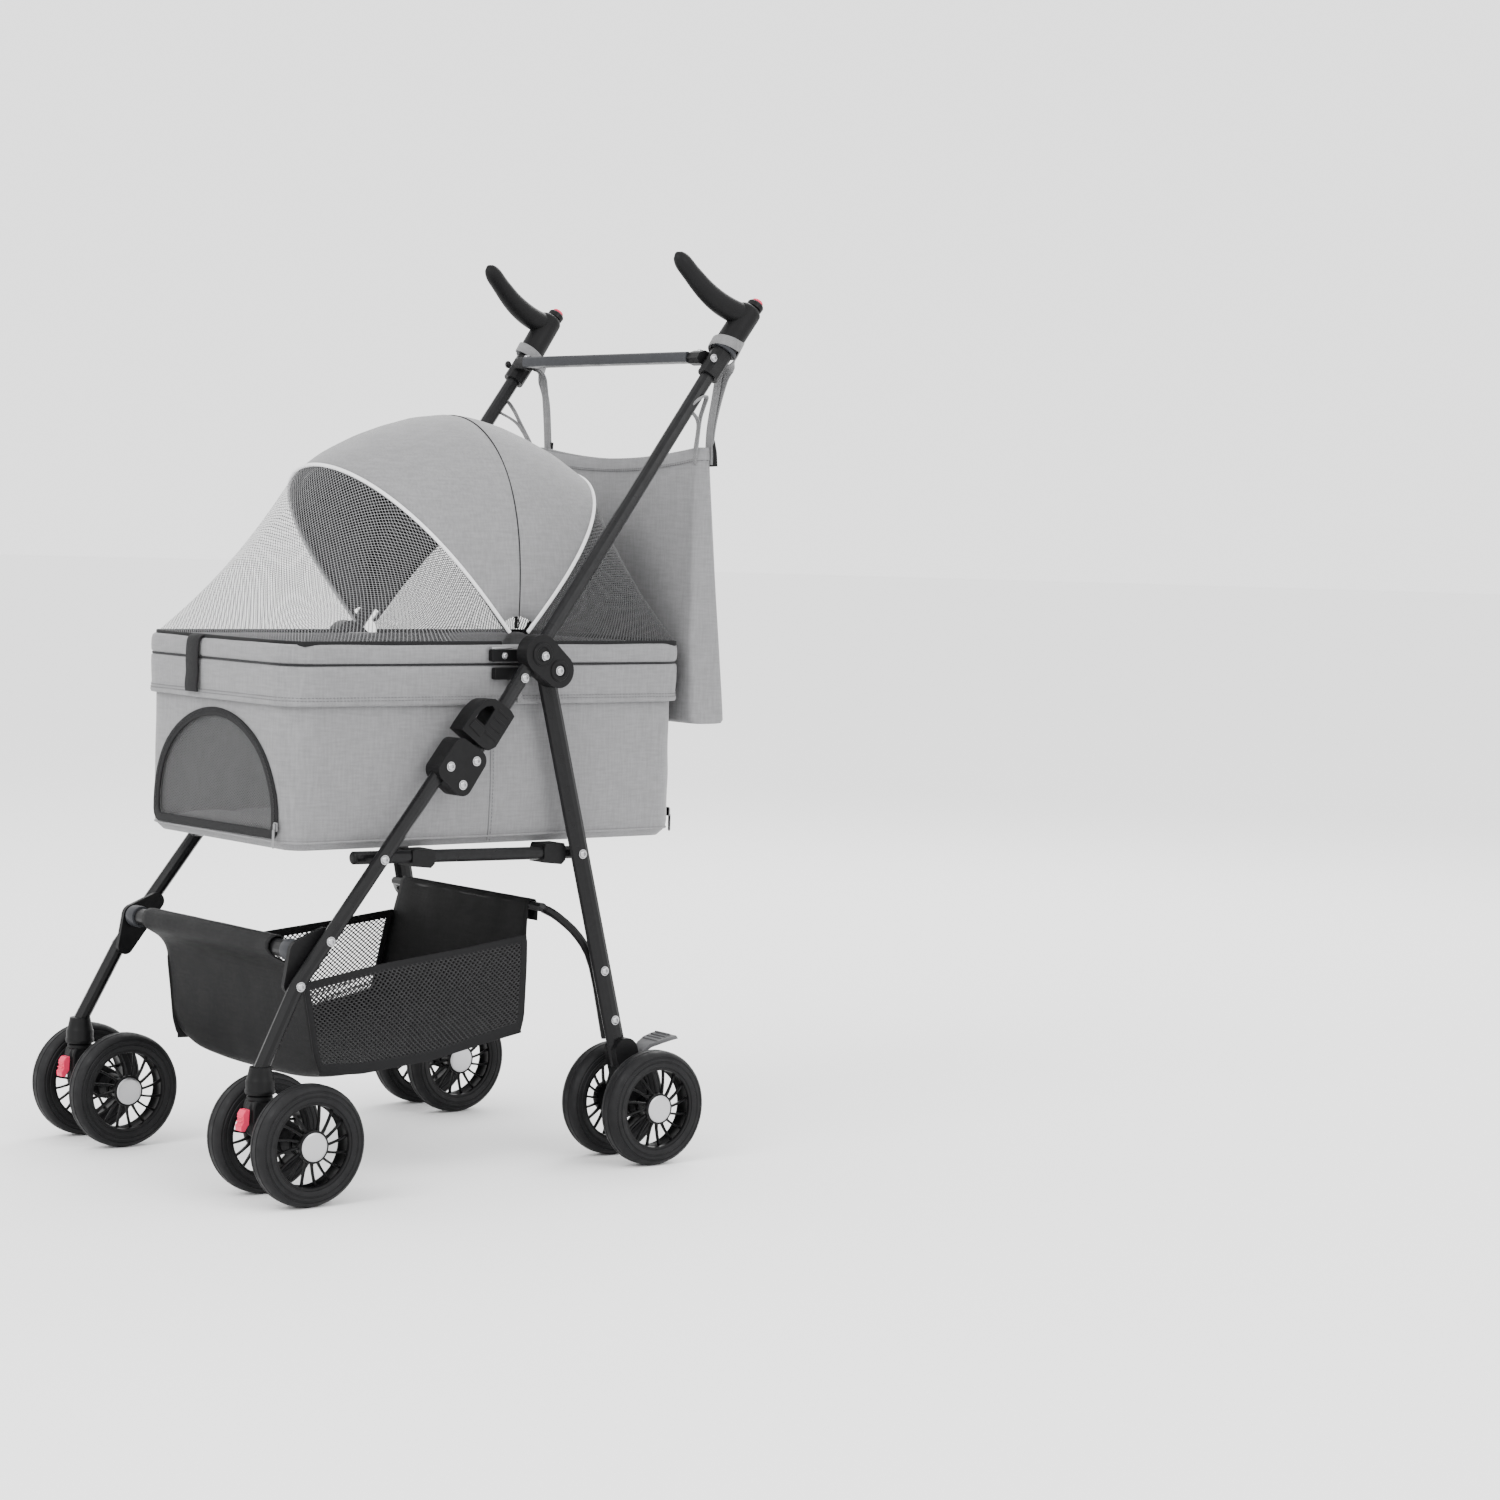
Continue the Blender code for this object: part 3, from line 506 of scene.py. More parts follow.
BASKET_CORD = Cloth("basket net cord", (0.028, 0.028, 0.029), 0.62, 0.0, 0.0007, 0.2, 0.0001, 0.1)
SCREW_STEEL = Metal("zinc screw", (0.42, 0.42, 0.43), 0.26, 1.0)
PULL_STEEL = Metal("zip pull", (0.22, 0.22, 0.225), 0.34, 1.0)
CAP_METAL = Metal("satin wheel cap", (0.46, 0.46, 0.47), 0.34, 1.0)
THREAD = Cloth("stitching thread", (0.12, 0.12, 0.123), 0.7, 0.0, 0.0006, 0.1, 0.0001, 0.1)
DARK_THREAD = Cloth("dark thread", (0.010, 0.010, 0.011), 0.7, 0.0, 0.0006, 0.1, 0.0001, 0.1)
FLOOR = StageFloor("pale floor", (0.93, 0.93, 0.93), 0.9)


# ---------------------------------------------------------------- mesh making


def oval(half_a: float, half_b: float, count: int = 20) -> Section:
    """Points of an oval section.

    Args:
        half_a: half of its first width.
        half_b: half of its second width.
        count: how many points it has.

    Returns:
        The points round it.
    """
    turn = 2 * math.pi / count
    return [(half_a * math.cos(k * turn), half_b * math.sin(k * turn)) for k in range(count)]


def soft_bar(half_a: float, half_b: float, corner: float, steps: int = 3) -> Section:
    """Points of a bar's section with round corners.

    Args:
        half_a: half of its first width.
        half_b: half of its second width.
        corner: the corners' radius.
        steps: how many faces each corner has.

    Returns:
        The points round it.
    """
    points = []
    for a, b, start in ((1, 1, 0), (-1, 1, 90), (-1, -1, 180), (1, -1, 270)):
        for k in range(steps + 1):
            angle = math.radians(start + 90 * k / steps)
            points.append((a * (half_a - corner) + corner * math.cos(angle),
                           b * (half_b - corner) + corner * math.sin(angle)))
    return points


def smooth_path(points: Sequence[Sequence[float]], steps: int = 6) -> Path:
    """A smooth path through chosen points.

    Args:
        points: the points that it passes.
        steps: how many parts lie between two points.

    Returns:
        The path.
    """
    given = [Vector(p) for p in points]
    padded = [given[0] * 2 - given[1], *given, given[-1] * 2 - given[-2]]
    path = []
    for a, b, c, d in zip(padded, padded[1:], padded[2:], padded[3:]):
        for k in range(steps):
            t = k / steps
            path.append(0.5 * (2 * b + (c - a) * t + (2 * a - 5 * b + 4 * c - d) * t ** 2
                               + (3 * b - a - 3 * c + d) * t ** 3))
    path.append(given[-1])
    return path


def even_path(path: Path, step: float, closed: bool = False) -> Path:
    """The same line with its points evenly spaced.

    Args:
        path: the line.
        step: the spacing, in metres.
        closed: whether it joins its own start.

    Returns:
        The new points.
    """
    line = path + [path[0]] if closed else path
    lengths = [0.0]
    for a, b in zip(line, line[1:]):
        lengths.append(lengths[-1] + (b - a).length)
    count = max(2, round(lengths[-1] / step))
    out, k = [], 0
    for i in range(count if closed else count + 1):
        want = lengths[-1] * i / count
        while k < len(lengths) - 2 and lengths[k + 1] < want:
            k += 1
        share = (want - lengths[k]) / max(lengths[k + 1] - lengths[k], 1e-9)
        out.append(line[k].lerp(line[k + 1], share))
    return out


def frames(path: Path, up: Vector, closed: bool = False) -> list[tuple[Vector, Vector, Vector]]:
    """A set of axes at each point of a path.

    Args:
        path: the points.
        up: the direction that the second axis keeps to.
        closed: whether the path joins its own start.

    Returns:
        For each point its run, side and up directions.
    """
    out = []
    count = len(path)
    for i in range(count):
        before = path[(i - 1) % count] if closed else path[max(i - 1, 0)]
        after = path[(i + 1) % count] if closed else path[min(i + 1, count - 1)]
        run = (after - before).normalized()
        side = run.cross(up)
        side = side.normalized() if side.length > 1e-6 else run.orthogonal().normalized()
        out.append((run, side, side.cross(run)))
    return out


class Maker:
    """Collects the points and faces of one piece."""

    def __init__(self) -> None:
        """Start with nothing."""
        self.points: list[Vector] = []
        self.faces: list[tuple[int, ...]] = []
        self.flat: dict[int, tuple[float, float]] = {}

    def loft(self, rings: Sequence[Sequence[Vector]], closed: bool = False, caps: bool = True) -> "Maker":
        """Skin a row of rings that have the same number of points.

        Args:
            rings: the rings.
            closed: whether the last ring joins the first.
            caps: whether the two ends are shut.

        Returns:
            The maker itself.
        """
        base, size = len(self.points), len(rings[0])
        for ring in rings:
            self.points.extend(Vector(p) for p in ring)
        for k in range(len(rings) if closed else len(rings) - 1):
            low, high = base + k * size, base + ((k + 1) % len(rings)) * size
            for i in range(size):
                j = (i + 1) % size
                self.faces.append((low + i, low + j, high + j, high + i))
        if caps and not closed:
            self.faces.append(tuple(range(base + size - 1, base - 1, -1)))
            last = base + (len(rings) - 1) * size
            self.faces.append(tuple(range(last, last + size)))
        return self

    def sweep(self, path: Path, section: Section | Callable[[float], Section],
              up: Sequence[float] = (0, 0, 1), closed: bool = False, caps: bool = True) -> "Maker":
        """Run a section along a path.

        Args:
            path: the centre line.
            section: the section, or a function of the share of the way along.
            up: the direction that the section's second axis keeps to.
            closed: whether the path joins its own start.
            caps: whether the two ends are shut.

        Returns:
            The maker itself.
        """
        rings = []
        for i, (here, (_, side, high)) in enumerate(zip(path, frames(path, Vector(up), closed))):
            shape = section(i / max(len(path) - 1, 1)) if callable(section) else section
            rings.append([here + side * a + high * b for a, b in shape])
        return self.loft(rings, closed, caps)

    def lathe(self, profile: Sequence[tuple[float, float]], centre: Sequence[float],
              axis: Sequence[float], segments: int = 40, closed: bool = False) -> "Maker":
        """Turn a profile round an axis.

        Args:
            profile: points as (radius, distance along the axis).
            centre: where the distance is 0.
            axis: the axis.
            segments: how many faces go round.
            closed: whether the profile joins its own start.

        Returns:
            The maker itself.
        """
        way = Vector(axis).normalized()
        side = Vector((0, 0, 1)) if abs(way.z) < 0.9 else Vector((1, 0, 0))
        side = (side - way * side.dot(way)).normalized()
        other = way.cross(side)
        rings = []
        for radius, along in profile:
            ring = []
            for i in range(segments):
                angle = 2 * math.pi * i / segments
                turn = side * math.cos(angle) + other * math.sin(angle)
                ring.append(Vector(centre) + way * along + turn * radius)
            rings.append(ring)
        return self.loft(rings, closed)

    def prism(self, outline: Sequence[Sequence[float]], thickness: Sequence[float]) -> "Maker":
        """A flat piece from an outline.

        Args:
            outline: the points of one face.
            thickness: the vector from that face to the other.

        Returns:
            The maker itself.
        """
        low = [Vector(p) for p in outline]
        return self.loft([low, [p + Vector(thickness) for p in low]])

    def grid(self, rows: Sequence[Sequence[Vector]], wrap: bool = False) -> "Maker":
        """A sheet from rows of points, with its flat coordinates in metres.

        Args:
            rows: the rows.
            wrap: whether each row joins its own start.

        Returns:
            The maker itself.
        """
        base, width = len(self.points), len(rows[0])
        middle = rows[len(rows) // 2]
        across = [0.0]
        for a, b in zip(middle, middle[1:]):
            across.append(across[-1] + (Vector(b) - Vector(a)).length)
        centre = across[-1] / 2
        down = 0.0
        for r, row in enumerate(rows):
            if r:
                down += (Vector(row[width // 2]) - Vector(rows[r - 1][width // 2])).length
            length = sum((Vector(b) - Vector(a)).length for a, b in zip(row, row[1:]))
            ratio = length / max(across[-1], 1e-9)
            for c, p in enumerate(row):
                self.flat[len(self.points)] = ((across[c] - centre) * ratio, down)
                self.points.append(Vector(p))
        for r in range(len(rows) - 1):
            for c in range(width if wrap else width - 1):
                d = (c + 1) % width
                a = base + r * width
                self.faces.append((a + c, a + d, a + width + d, a + width + c))
        return self

    def build(self, name: str, sharp: float = 38.0) -> bpy.types.Object:
        """Make the object.

        Args:
            name: its name.
            sharp: the angle above which an edge stays sharp, in degrees.

        Returns:
            The object.
        """
        mesh = bpy.data.meshes.new(name)
        mesh.from_pydata(self.points, [], self.faces)
        if self.flat:
            layer = mesh.uv_layers.new(name="flat")
            for loop in mesh.loops:
                layer.data[loop.index].uv = self.flat.get(loop.vertex_index, (0.0, 0.0))
        work = bmesh.new()
        work.from_mesh(mesh)
        bmesh.ops.recalc_face_normals(work, faces=work.faces)
        work.to_mesh(mesh)
        work.free()
        mesh.shade_smooth()
        mesh.set_sharp_from_angle(angle=math.radians(sharp))
        made = bpy.data.objects.new(name, mesh)
        bpy.context.scene.collection.objects.link(made)
        return made


def bevel(piece: bpy.types.Object, width: float, segments: int = 3, angle: float = 35.0) -> bpy.types.Object:
    """Round a piece's edges.

    Args:
        piece: the piece.
        width: the rounding's width, in metres.
        segments: how many faces it has.
        angle: edges flatter than this stay, in degrees.

    Returns:
        The piece.
    """
    step = piece.modifiers.new("rounding", "BEVEL")
    step.width = width
    step.segments = segments
    step.limit_method = "ANGLE"
    step.angle_limit = math.radians(angle)
    step.harden_normals = True
    return piece


def thicken(piece: bpy.types.Object, thickness: float, offset: float = -1.0) -> bpy.types.Object:
    """Give a sheet its thickness.

    Args:
        piece: the sheet.
        thickness: in metres.
        offset: -1 for inwards, 1 for outwards and 0 for both ways.

    Returns:
        The piece.
    """
    step = piece.modifiers.new("thickness", "SOLIDIFY")
    step.thickness = thickness
    step.offset = offset
    step.use_even_offset = False
    return piece


def settle(piece: bpy.types.Object) -> bpy.types.Object:
    """Turn a piece's modifiers into mesh.

    Args:
        piece: the piece.

    Returns:
        The same piece with a plain mesh.
    """
    graph = bpy.context.evaluated_depsgraph_get()
    mesh = bpy.data.meshes.new_from_object(piece.evaluated_get(graph), depsgraph=graph)
    mesh.name = piece.name
    piece.modifiers.clear()
    piece.data = mesh
    return piece


def cut(piece: bpy.types.Object, cutters: Sequence[bpy.types.Object]) -> bpy.types.Object:
    """Take other solids out of a piece and remove them.

    Args:
        piece: the piece.
        cutters: the solids.

    Returns:
        The piece as plain mesh.
    """
    for cutter in cutters:
        step = piece.modifiers.new("cut", "BOOLEAN")
        step.operation = "DIFFERENCE"
        step.solver = "EXACT"
        step.object = cutter
    settle(piece)
    for cutter in cutters:
        bpy.data.objects.remove(cutter, do_unlink=True)
    piece.data.shade_smooth()
    piece.data.set_sharp_from_angle(angle=math.radians(38.0))
    return piece


def dress(piece: bpy.types.Object, finish: Finish) -> bpy.types.Object:
    """Give a piece its finish.

    Args:
        piece: the piece.
        finish: what it is made of.

    Returns:
        The piece.
    """
    piece.data.materials.clear()
    piece.data.materials.append(finish.material())
    return piece


def fit(piece: bpy.types.Object, finish: Finish, body: str,
        stands_for: Sequence[str] = ()) -> bpy.types.Object:
    """Dress a piece and mount it on a body.

    Args:
        piece: the piece.
        finish: what it is made of.
        body: the CAD body that it moves with.
        stands_for: the CAD nodes that it replaces.

    Returns:
        The piece.
    """
    dress(piece, finish)
    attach(piece, body)
    if stands_for:
        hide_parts(*stands_for)
    LOG.info("%s on %s", piece.name, body)
    return piece


def crumple(prefixes: Sequence[str]) -> None:
    """Give each soft piece its own copy of its mesh.

    Args:
        prefixes: the first words of the pieces' names.
    """
    for piece in list(bpy.data.objects):
        if piece.type == "MESH" and piece.name.startswith(tuple(prefixes)):
            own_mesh(piece)


def keep_node(nodes: dict[str, bpy.types.Object], name: str, finish: Finish,
              rounding: float = 0.0) -> None:
    """Show a CAD node as it is, with a finish and rounded edges.

    Args:
        nodes: the CAD nodes.
        name: the node's name.
        finish: what it is made of.
        rounding: the width of its rounded edges, or 0 for none.
    """
    node = nodes[name]
    dress(node, finish)
    if rounding:
        bevel(node, rounding, 2, 30.0)
    LOG.info("%s kept", name)


def stitches(name: str, path: Path, finish: Finish, body: str, normal: Callable[[Vector], Vector],
             pitch: float = 0.0042, length: float = 0.0028, radius: float = 0.0004,
             closed: bool = False) -> bpy.types.Object:
    """A row of sewn stitches, as short raised threads.

    Args:
        name: the piece's name.
        path: the line that they follow.
        finish: the thread's finish.
        body: the CAD body that they move with.
        normal: the outward direction at a point.
        pitch: from one stitch to the next.
        length: of one stitch.
        radius: of the thread.
        closed: whether the line joins its own start.

    Returns:
        The piece.
    """
    maker = Maker()
    line = even_path(path, pitch, closed)
    for here, (run, _, _) in zip(line, frames(line, Vector((0, 0.01, 1)), closed)):
        out = normal(here)
        side = run.cross(out).normalized()
        rings = []
        for share, size in ((-0.5, 0.35), (-0.3, 1.0), (0.3, 1.0), (0.5, 0.35)):
            centre = here + run * length * share + out * radius * (size - 0.6)
            rings.append([centre + side * a * size + out * b * size for a, b in oval(radius, radius, 6)])
        maker.loft(rings)
    return fit(maker.build(name, 60.0), finish, body)


def screw_heads(name: str, places: Sequence[tuple[Vector, Vector]], body: str,
                radius: float = 0.0042) -> bpy.types.Object:
    """Button-head screws with hex sockets, as one piece.

    Args:
        name: the piece's name.
        places: each head's seat and its outward direction.
        body: the CAD body that they move with.
        radius: of a head.

    Returns:
        The piece.
    """
    maker = Maker()
    profile = [(1.22, -0.0006), (1.22, 0.0004), (1.0, 0.0005), (1.0, 0.0010), (0.93, 0.0018), (0.78, 0.0024),
               (0.60, 0.0027), (0.50, 0.0027), (0.48, 0.0024), (0.46, 0.0012)]
    for seat, way in places:
        side = (Vector((0, 0, 1)) - way * way.z).normalized()
        if abs(way.z) > 0.9:
            side = Vector((0, 1, 0))
        other = way.cross(side)
        rings = []
        for size, along in profile:
            ring = []
            for k in range(24):
                angle = 2 * math.pi * k / 24
                hexagon = math.cos(math.pi / 6) / math.cos(angle % (math.pi / 3) - math.pi / 6)
                reach = radius * size * (hexagon * 1.07 if size < 0.55 else 1.0)
                ring.append(seat + way * along + (side * math.cos(angle) + other * math.sin(angle)) * reach)
            rings.append(ring)
        maker.loft(rings)
    return fit(maker.build(name, 30.0), SCREW_STEEL, body)


# ---------------------------------------------------------------- frame geometry shared by the assemblies


@dataclass(frozen=True)
class FrameLines:
    """Pivots and tube lines of the side frames, as (y, z) in each side's plane."""

    tube_x: float = 0.190
    knuckle: tuple[float, float] = (-0.0474, 0.4486)
    tube_top: tuple[float, float] = (0.2787, 0.8968)
    link_front: tuple[float, float] = (-0.1567, 0.3473)
    hub_pivot: tuple[float, float] = (0.0575, 0.5440)

    def tube_point(self, distance: float, offset: float = 0.0) -> tuple[float, float]:
        """A point by the handle tube.

        Args:
            distance: from the tube's pivot, up the tube.
            offset: across the tube, towards the rear.

        Returns:
            The point as (y, z).
        """
        run = Vector((self.tube_top[0] - self.knuckle[0], self.tube_top[1] - self.knuckle[1])).normalized()
        return (self.knuckle[0] + run.x * distance + run.y * offset,
                self.knuckle[1] + run.y * distance - run.x * offset)

    def on_tube(self, side: Side, distance: float, offset: float = 0.0, x: float = 0.190) -> Vector:
        """A point by the handle tube of one side.

        Args:
            side: the side.
            distance: up the tube.
            offset: across the tube, towards the rear.
            x: distance from the middle.

        Returns:
            The point.
        """
        return side.at(x, *self.tube_point(distance, offset))


LINES = FrameLines()


# ---------------------------------------------------------------- wheels


@dataclass
class Wheels:
    """Eight spoked wheels with stepped tyres and satin caps."""

    radius: float = 0.0635
    half_width: float = 0.0136
    bead: float = 0.0450
    spokes: int = 16
    pair_x: float = 0.196
    front_y: float = -0.2697
    rear_y: float = 0.1741
    front_spacing: float = 0.0438
    rear_spacing: float = 0.0375

    def tyre(self) -> bpy.types.Object:
        """One tyre about the origin, with grooves round its side walls."""
        half = [(self.bead, 0.0095), (0.0458, 0.0122), (0.0482, 0.0134), (0.0506, 0.0136), (0.0512, 0.0128),
                (0.0524, 0.0128), (0.0530, 0.0135), (0.0556, 0.0134), (0.0562, 0.0124), (0.0574, 0.0122),
                (0.0580, 0.0128), (0.0600, 0.0118), (0.0618, 0.0098), (0.0630, 0.0070), (0.0634, 0.0048),
                (0.0626, 0.0042), (0.0626, 0.0034), (self.radius, 0.0028), (self.radius, 0.0)]
        profile = half + [(r, -x) for r, x in reversed(half[:-1])]
        maker = Maker()
        maker.lathe(profile, (0, 0, 0), (1, 0, 0), 72)
        maker.faces = maker.faces[:-2]
        count = len(profile)
        for i in range(72):
            j = (i + 1) % 72
            last = (count - 1) * 72
            maker.faces.append((last + i, last + j, j, i))
        return maker.build("tyre", 28.0)

    def rim(self) -> bpy.types.Object:
        """One rim with slanted spokes and its hub, about the origin, with the cap's seat at +X."""
        maker = Maker()
        ring = [(0.0420, -0.0085), (0.0428, -0.0112), (0.0454, -0.0116), (0.0456, 0.0), (0.0454, 0.0116),
                (0.0428, 0.0112), (0.0420, 0.0085), (0.0434, 0.0060), (0.0434, -0.0060)]
        maker.lathe(ring, (0, 0, 0), (1, 0, 0), 72)
        maker.faces = maker.faces[:-2]
        last = (len(ring) - 1) * 72
        for i in range(72):
            j = (i + 1) % 72
            maker.faces.append((last + i, last + j, j, i))
        hub = [(0.0046, -0.0128), (0.0100, -0.0128), (0.0118, -0.0110), (0.0124, -0.0020), (0.0150, 0.0040),
               (0.0168, 0.0070), (0.0172, 0.0100), (0.0172, 0.0128), (0.0160, 0.0136), (0.0152, 0.0136),
               (0.0150, 0.0122), (0.0046, 0.0120)]
        maker.lathe(hub, (0, 0, 0), (1, 0, 0), 40)
        for k in range(self.spokes):
            turn = 2 * math.pi * k / self.spokes
            path = []
            for share in (0.0, 0.25, 0.5, 0.75, 1.0):
                reach = 0.0150 + (0.0438 - 0.0150) * share
                angle = turn + 0.17 * share
                path.append(Vector((0.0078 - 0.0030 * share, reach * math.cos(angle),
                                    reach * math.sin(angle))))
            maker.sweep(path, lambda t: oval(0.0013 + 0.0005 * abs(2 * t - 1) ** 3, 0.0028 - 0.0006 * t, 8),
                        (1, 0, 0))
        return maker.build("rim", 35.0)

    def cap(self) -> bpy.types.Object:
        """One domed cap about the origin, facing +X."""
        profile = [(0.0148, 0.0120), (0.0149, 0.0136), (0.0143, 0.0141), (0.0120, 0.0144), (0.0070, 0.0147),
                   (0.0020, 0.0148)]
        return Maker().lathe(profile, (0, 0, 0), (1, 0, 0), 48).build("cap", 40.0)

    def build(self) -> None:
        """Make all eight wheels from the same three meshes."""
        parts = ((self.tyre(), TYRE_RUBBER, Slot.TYRE), (self.rim(), RIM_PLASTIC, Slot.PLASTIC),
                 (self.cap(), CAP_METAL, Slot.CAP))
        for side in Side:
            for end, y, spacing in (("front", self.front_y, self.front_spacing),
                                    ("rear", self.rear_y, self.rear_spacing)):
                for place, step in (("outer", 1), ("inner", -1)):
                    name = f"wheel_{end}_{side.tag}_{place}"
                    facing = side.value * step
                    x = side.value * (self.pair_x + step * spacing)
                    for model, finish, slot in parts:
                        piece = bpy.data.objects.new(f"{name}_{model.name}", model.data)
                        bpy.context.scene.collection.objects.link(piece)
                        piece.rotation_euler = (0, 0, 0 if facing > 0 else math.pi)
                        piece.location = (x, y, self.radius)
                        stands = (name,) if model.name == "tyre" else ()
                        fit(piece, finish, f"wheel_{end}_{side.tag}_{place}", stands)
        for model, _, _ in parts:
            bpy.data.objects.remove(model)


# ---------------------------------------------------------------- front frame and casters


@dataclass
class Casters:
    """Swivel forks under the front legs, each with a red lock."""

    x: float = 0.196
    y: float = -0.3010
    axle_y: float = -0.2697

    def fork(self, side: Side) -> None:
        """The fork: a leaning block with ribs, a round neck and an axle barrel.

        Args:
            side: which side it is on.
        """
        maker = Maker()
        for half, grow in ((0.0118, 0.0), (0.0060, 0.0016)):
            outline = [(self.y - 0.0132 - grow, 0.1010), (self.y - 0.0138 - grow, 0.0860),
                       (self.y - 0.0080, 0.0700), (self.axle_y - 0.0110, 0.0520 - grow),
                       (self.axle_y + 0.0010, 0.0485 - grow), (self.axle_y + 0.0120 + grow, 0.0545),
                       (self.axle_y + 0.0150 + grow, 0.0650), (self.axle_y + 0.0100 + grow, 0.0780),
                       (self.y + 0.0150 + grow, 0.0930), (self.y + 0.0132, 0.1035), (self.y + 0.0110, 0.1080),
                       (self.y - 0.0110, 0.1080)]
            low = [Vector((side.value * self.x - half, y, z)) for y, z in outline]
            maker.prism(low, (2 * half, 0, 0))
        body = bevel(maker.build(f"caster_fork_{side.tag}_body"), 0.0026, 3)
        fit(body, BLACK_PLASTIC, f"caster_{side.tag}", (f"caster_fork_{side.tag}",))
        neck = [(0.0124, 0.1060), (0.0136, 0.1075), (0.0136, 0.1105), (0.0120, 0.1122), (0.0060, 0.1123)]
        collar = Maker().lathe(neck, (side.value * self.x, self.y, 0), (0, 0, 1), 36)
        fit(collar.build(f"caster_collar_{side.tag}"), BLACK_PLASTIC, f"caster_{side.tag}")
        barrel = [(0.0036, -0.0560), (0.0040, -0.0296), (0.0118, -0.0296), (0.0130, -0.0280),
                  (0.0130, -0.0180),
                  (0.0142, -0.0150), (0.0142, 0.0150), (0.0130, 0.0180), (0.0130, 0.0280), (0.0118, 0.0296),
                  (0.0040, 0.0296), (0.0036, 0.0560)]
        axle = Maker().lathe(barrel, (side.value * self.x, self.axle_y, 0.0635), (1, 0, 0), 32)
        fit(axle.build(f"caster_axle_{side.tag}", 30.0), BLACK_PLASTIC, f"caster_{side.tag}")

    def lock(self, side: Side) -> None:
        """The red lever with a hook-shaped toe and grip ribs.

        Args:
            side: which side it is on.
        """
        front = self.y - 0.0148
        outline = [(front, 0.0985), (front - 0.0050, 0.0980), (front - 0.0080, 0.0935),
                   (front - 0.0075, 0.0860),
                   (front - 0.0104, 0.0810), (front - 0.0098, 0.0764), (front - 0.0052, 0.0760),
                   (front - 0.0030, 0.0800), (front - 0.0006, 0.0830)]
        maker = Maker()
        maker.prism([side.at(self.x - 0.0062, y, z) for y, z in outline], (side.value * 0.0124, 0, 0))
        for k in range(3):
            y, z = front - 0.0080 - 0.0009 * k, 0.0900 - 0.0042 * k
            rib = [side.at(self.x - 0.0050, y - 0.0012, z), side.at(self.x - 0.0050, y + 0.0020, z + 0.0004),
                   side.at(self.x - 0.0050, y + 0.0020, z + 0.0018),
                   side.at(self.x - 0.0050, y - 0.0010, z + 0.0014)]
            maker.prism(rib, (side.value * 0.0100, 0, 0))
        lever = bevel(maker.build(f"caster_lock_{side.tag}_lever"), 0.0007, 2)
        fit(lever, RED_PLASTIC, f"caster_lock_{side.tag}", (f"caster_lock_{side.tag}",))

    def build(self) -> None:
        """Make both casters."""
        for side in Side:
            self.fork(side)
            self.lock(side)


@dataclass
class FrontFrame:
    """Front legs, knuckles and cross tube, with their screws and collars."""

    nodes: dict[str, bpy.types.Object]
    cross_y: float = -0.2470
    cross_z: float = 0.2540

    def collars(self, side: Side) -> None:
        """The moulded socket at a leg's foot, with its ring and rib.

        Args:
            side: which side it is on.
        """
        profile = [(0.0080, 0.1125), (0.0150, 0.1127), (0.0158, 0.1145), (0.0158, 0.1172), (0.0150, 0.1186),
                   (0.0150, 0.1262), (0.0141, 0.1280), (0.0128, 0.1330), (0.0112, 0.1408), (0.0090, 0.1412)]
        cup = Maker().lathe(profile, side.at(0.196, -0.3010, 0.0), (0, 0, 1), 40)
        fit(cup.build(f"caster_socket_{side.tag}", 30.0), BLACK_PLASTIC, "front_frame")

    def build(self) -> None:
        """Dress the CAD parts and add the small ones."""
        for side in Side:
            keep_node(self.nodes, f"front_leg_{side.tag}", TUBE_PAINT)
            keep_node(self.nodes, f"knuckle_{side.tag}", BLACK_PLASTIC, 0.0022)
            keep_node(self.nodes, f"cross_tube_bracket_{side.tag}", BLACK_PLASTIC, 0.0018)
            self.collars(side)
            out = Vector((side.value, 0, 0))
            seats = [(0.2030, *LINES.tube_point(0.0, 0.0)), (0.2030, *LINES.tube_point(-0.0230, -0.0235)),
                     (0.2030, *LINES.tube_point(-0.0300, 0.0010)), (0.1980, *LINES.link_front),
                     (0.1985, -0.2208, 0.2651), (0.1990, -0.2564, 0.2202), (0.2030, -0.2971, 0.1256)]
            screw_heads(f"front_screws_{side.tag}", [(side.at(*seat), out) for seat in seats], "front_frame")
        keep_node(self.nodes, "front_cross_tube", TUBE_PAINT)
        sleeves = Maker()
        for side in Side:
            profile = [(0.0100, -0.0085), (0.0116, -0.0080), (0.0120, -0.0060), (0.0120, 0.0060),
                       (0.0116, 0.0080), (0.0100, 0.0085)]
            sleeves.lathe(profile, side.at(0.1660, self.cross_y, self.cross_z), (1, 0, 0), 32)
        fit(sleeves.build("cross_tube_sleeves"), BAR_PLASTIC, "front_frame")


# ---------------------------------------------------------------- handle frame


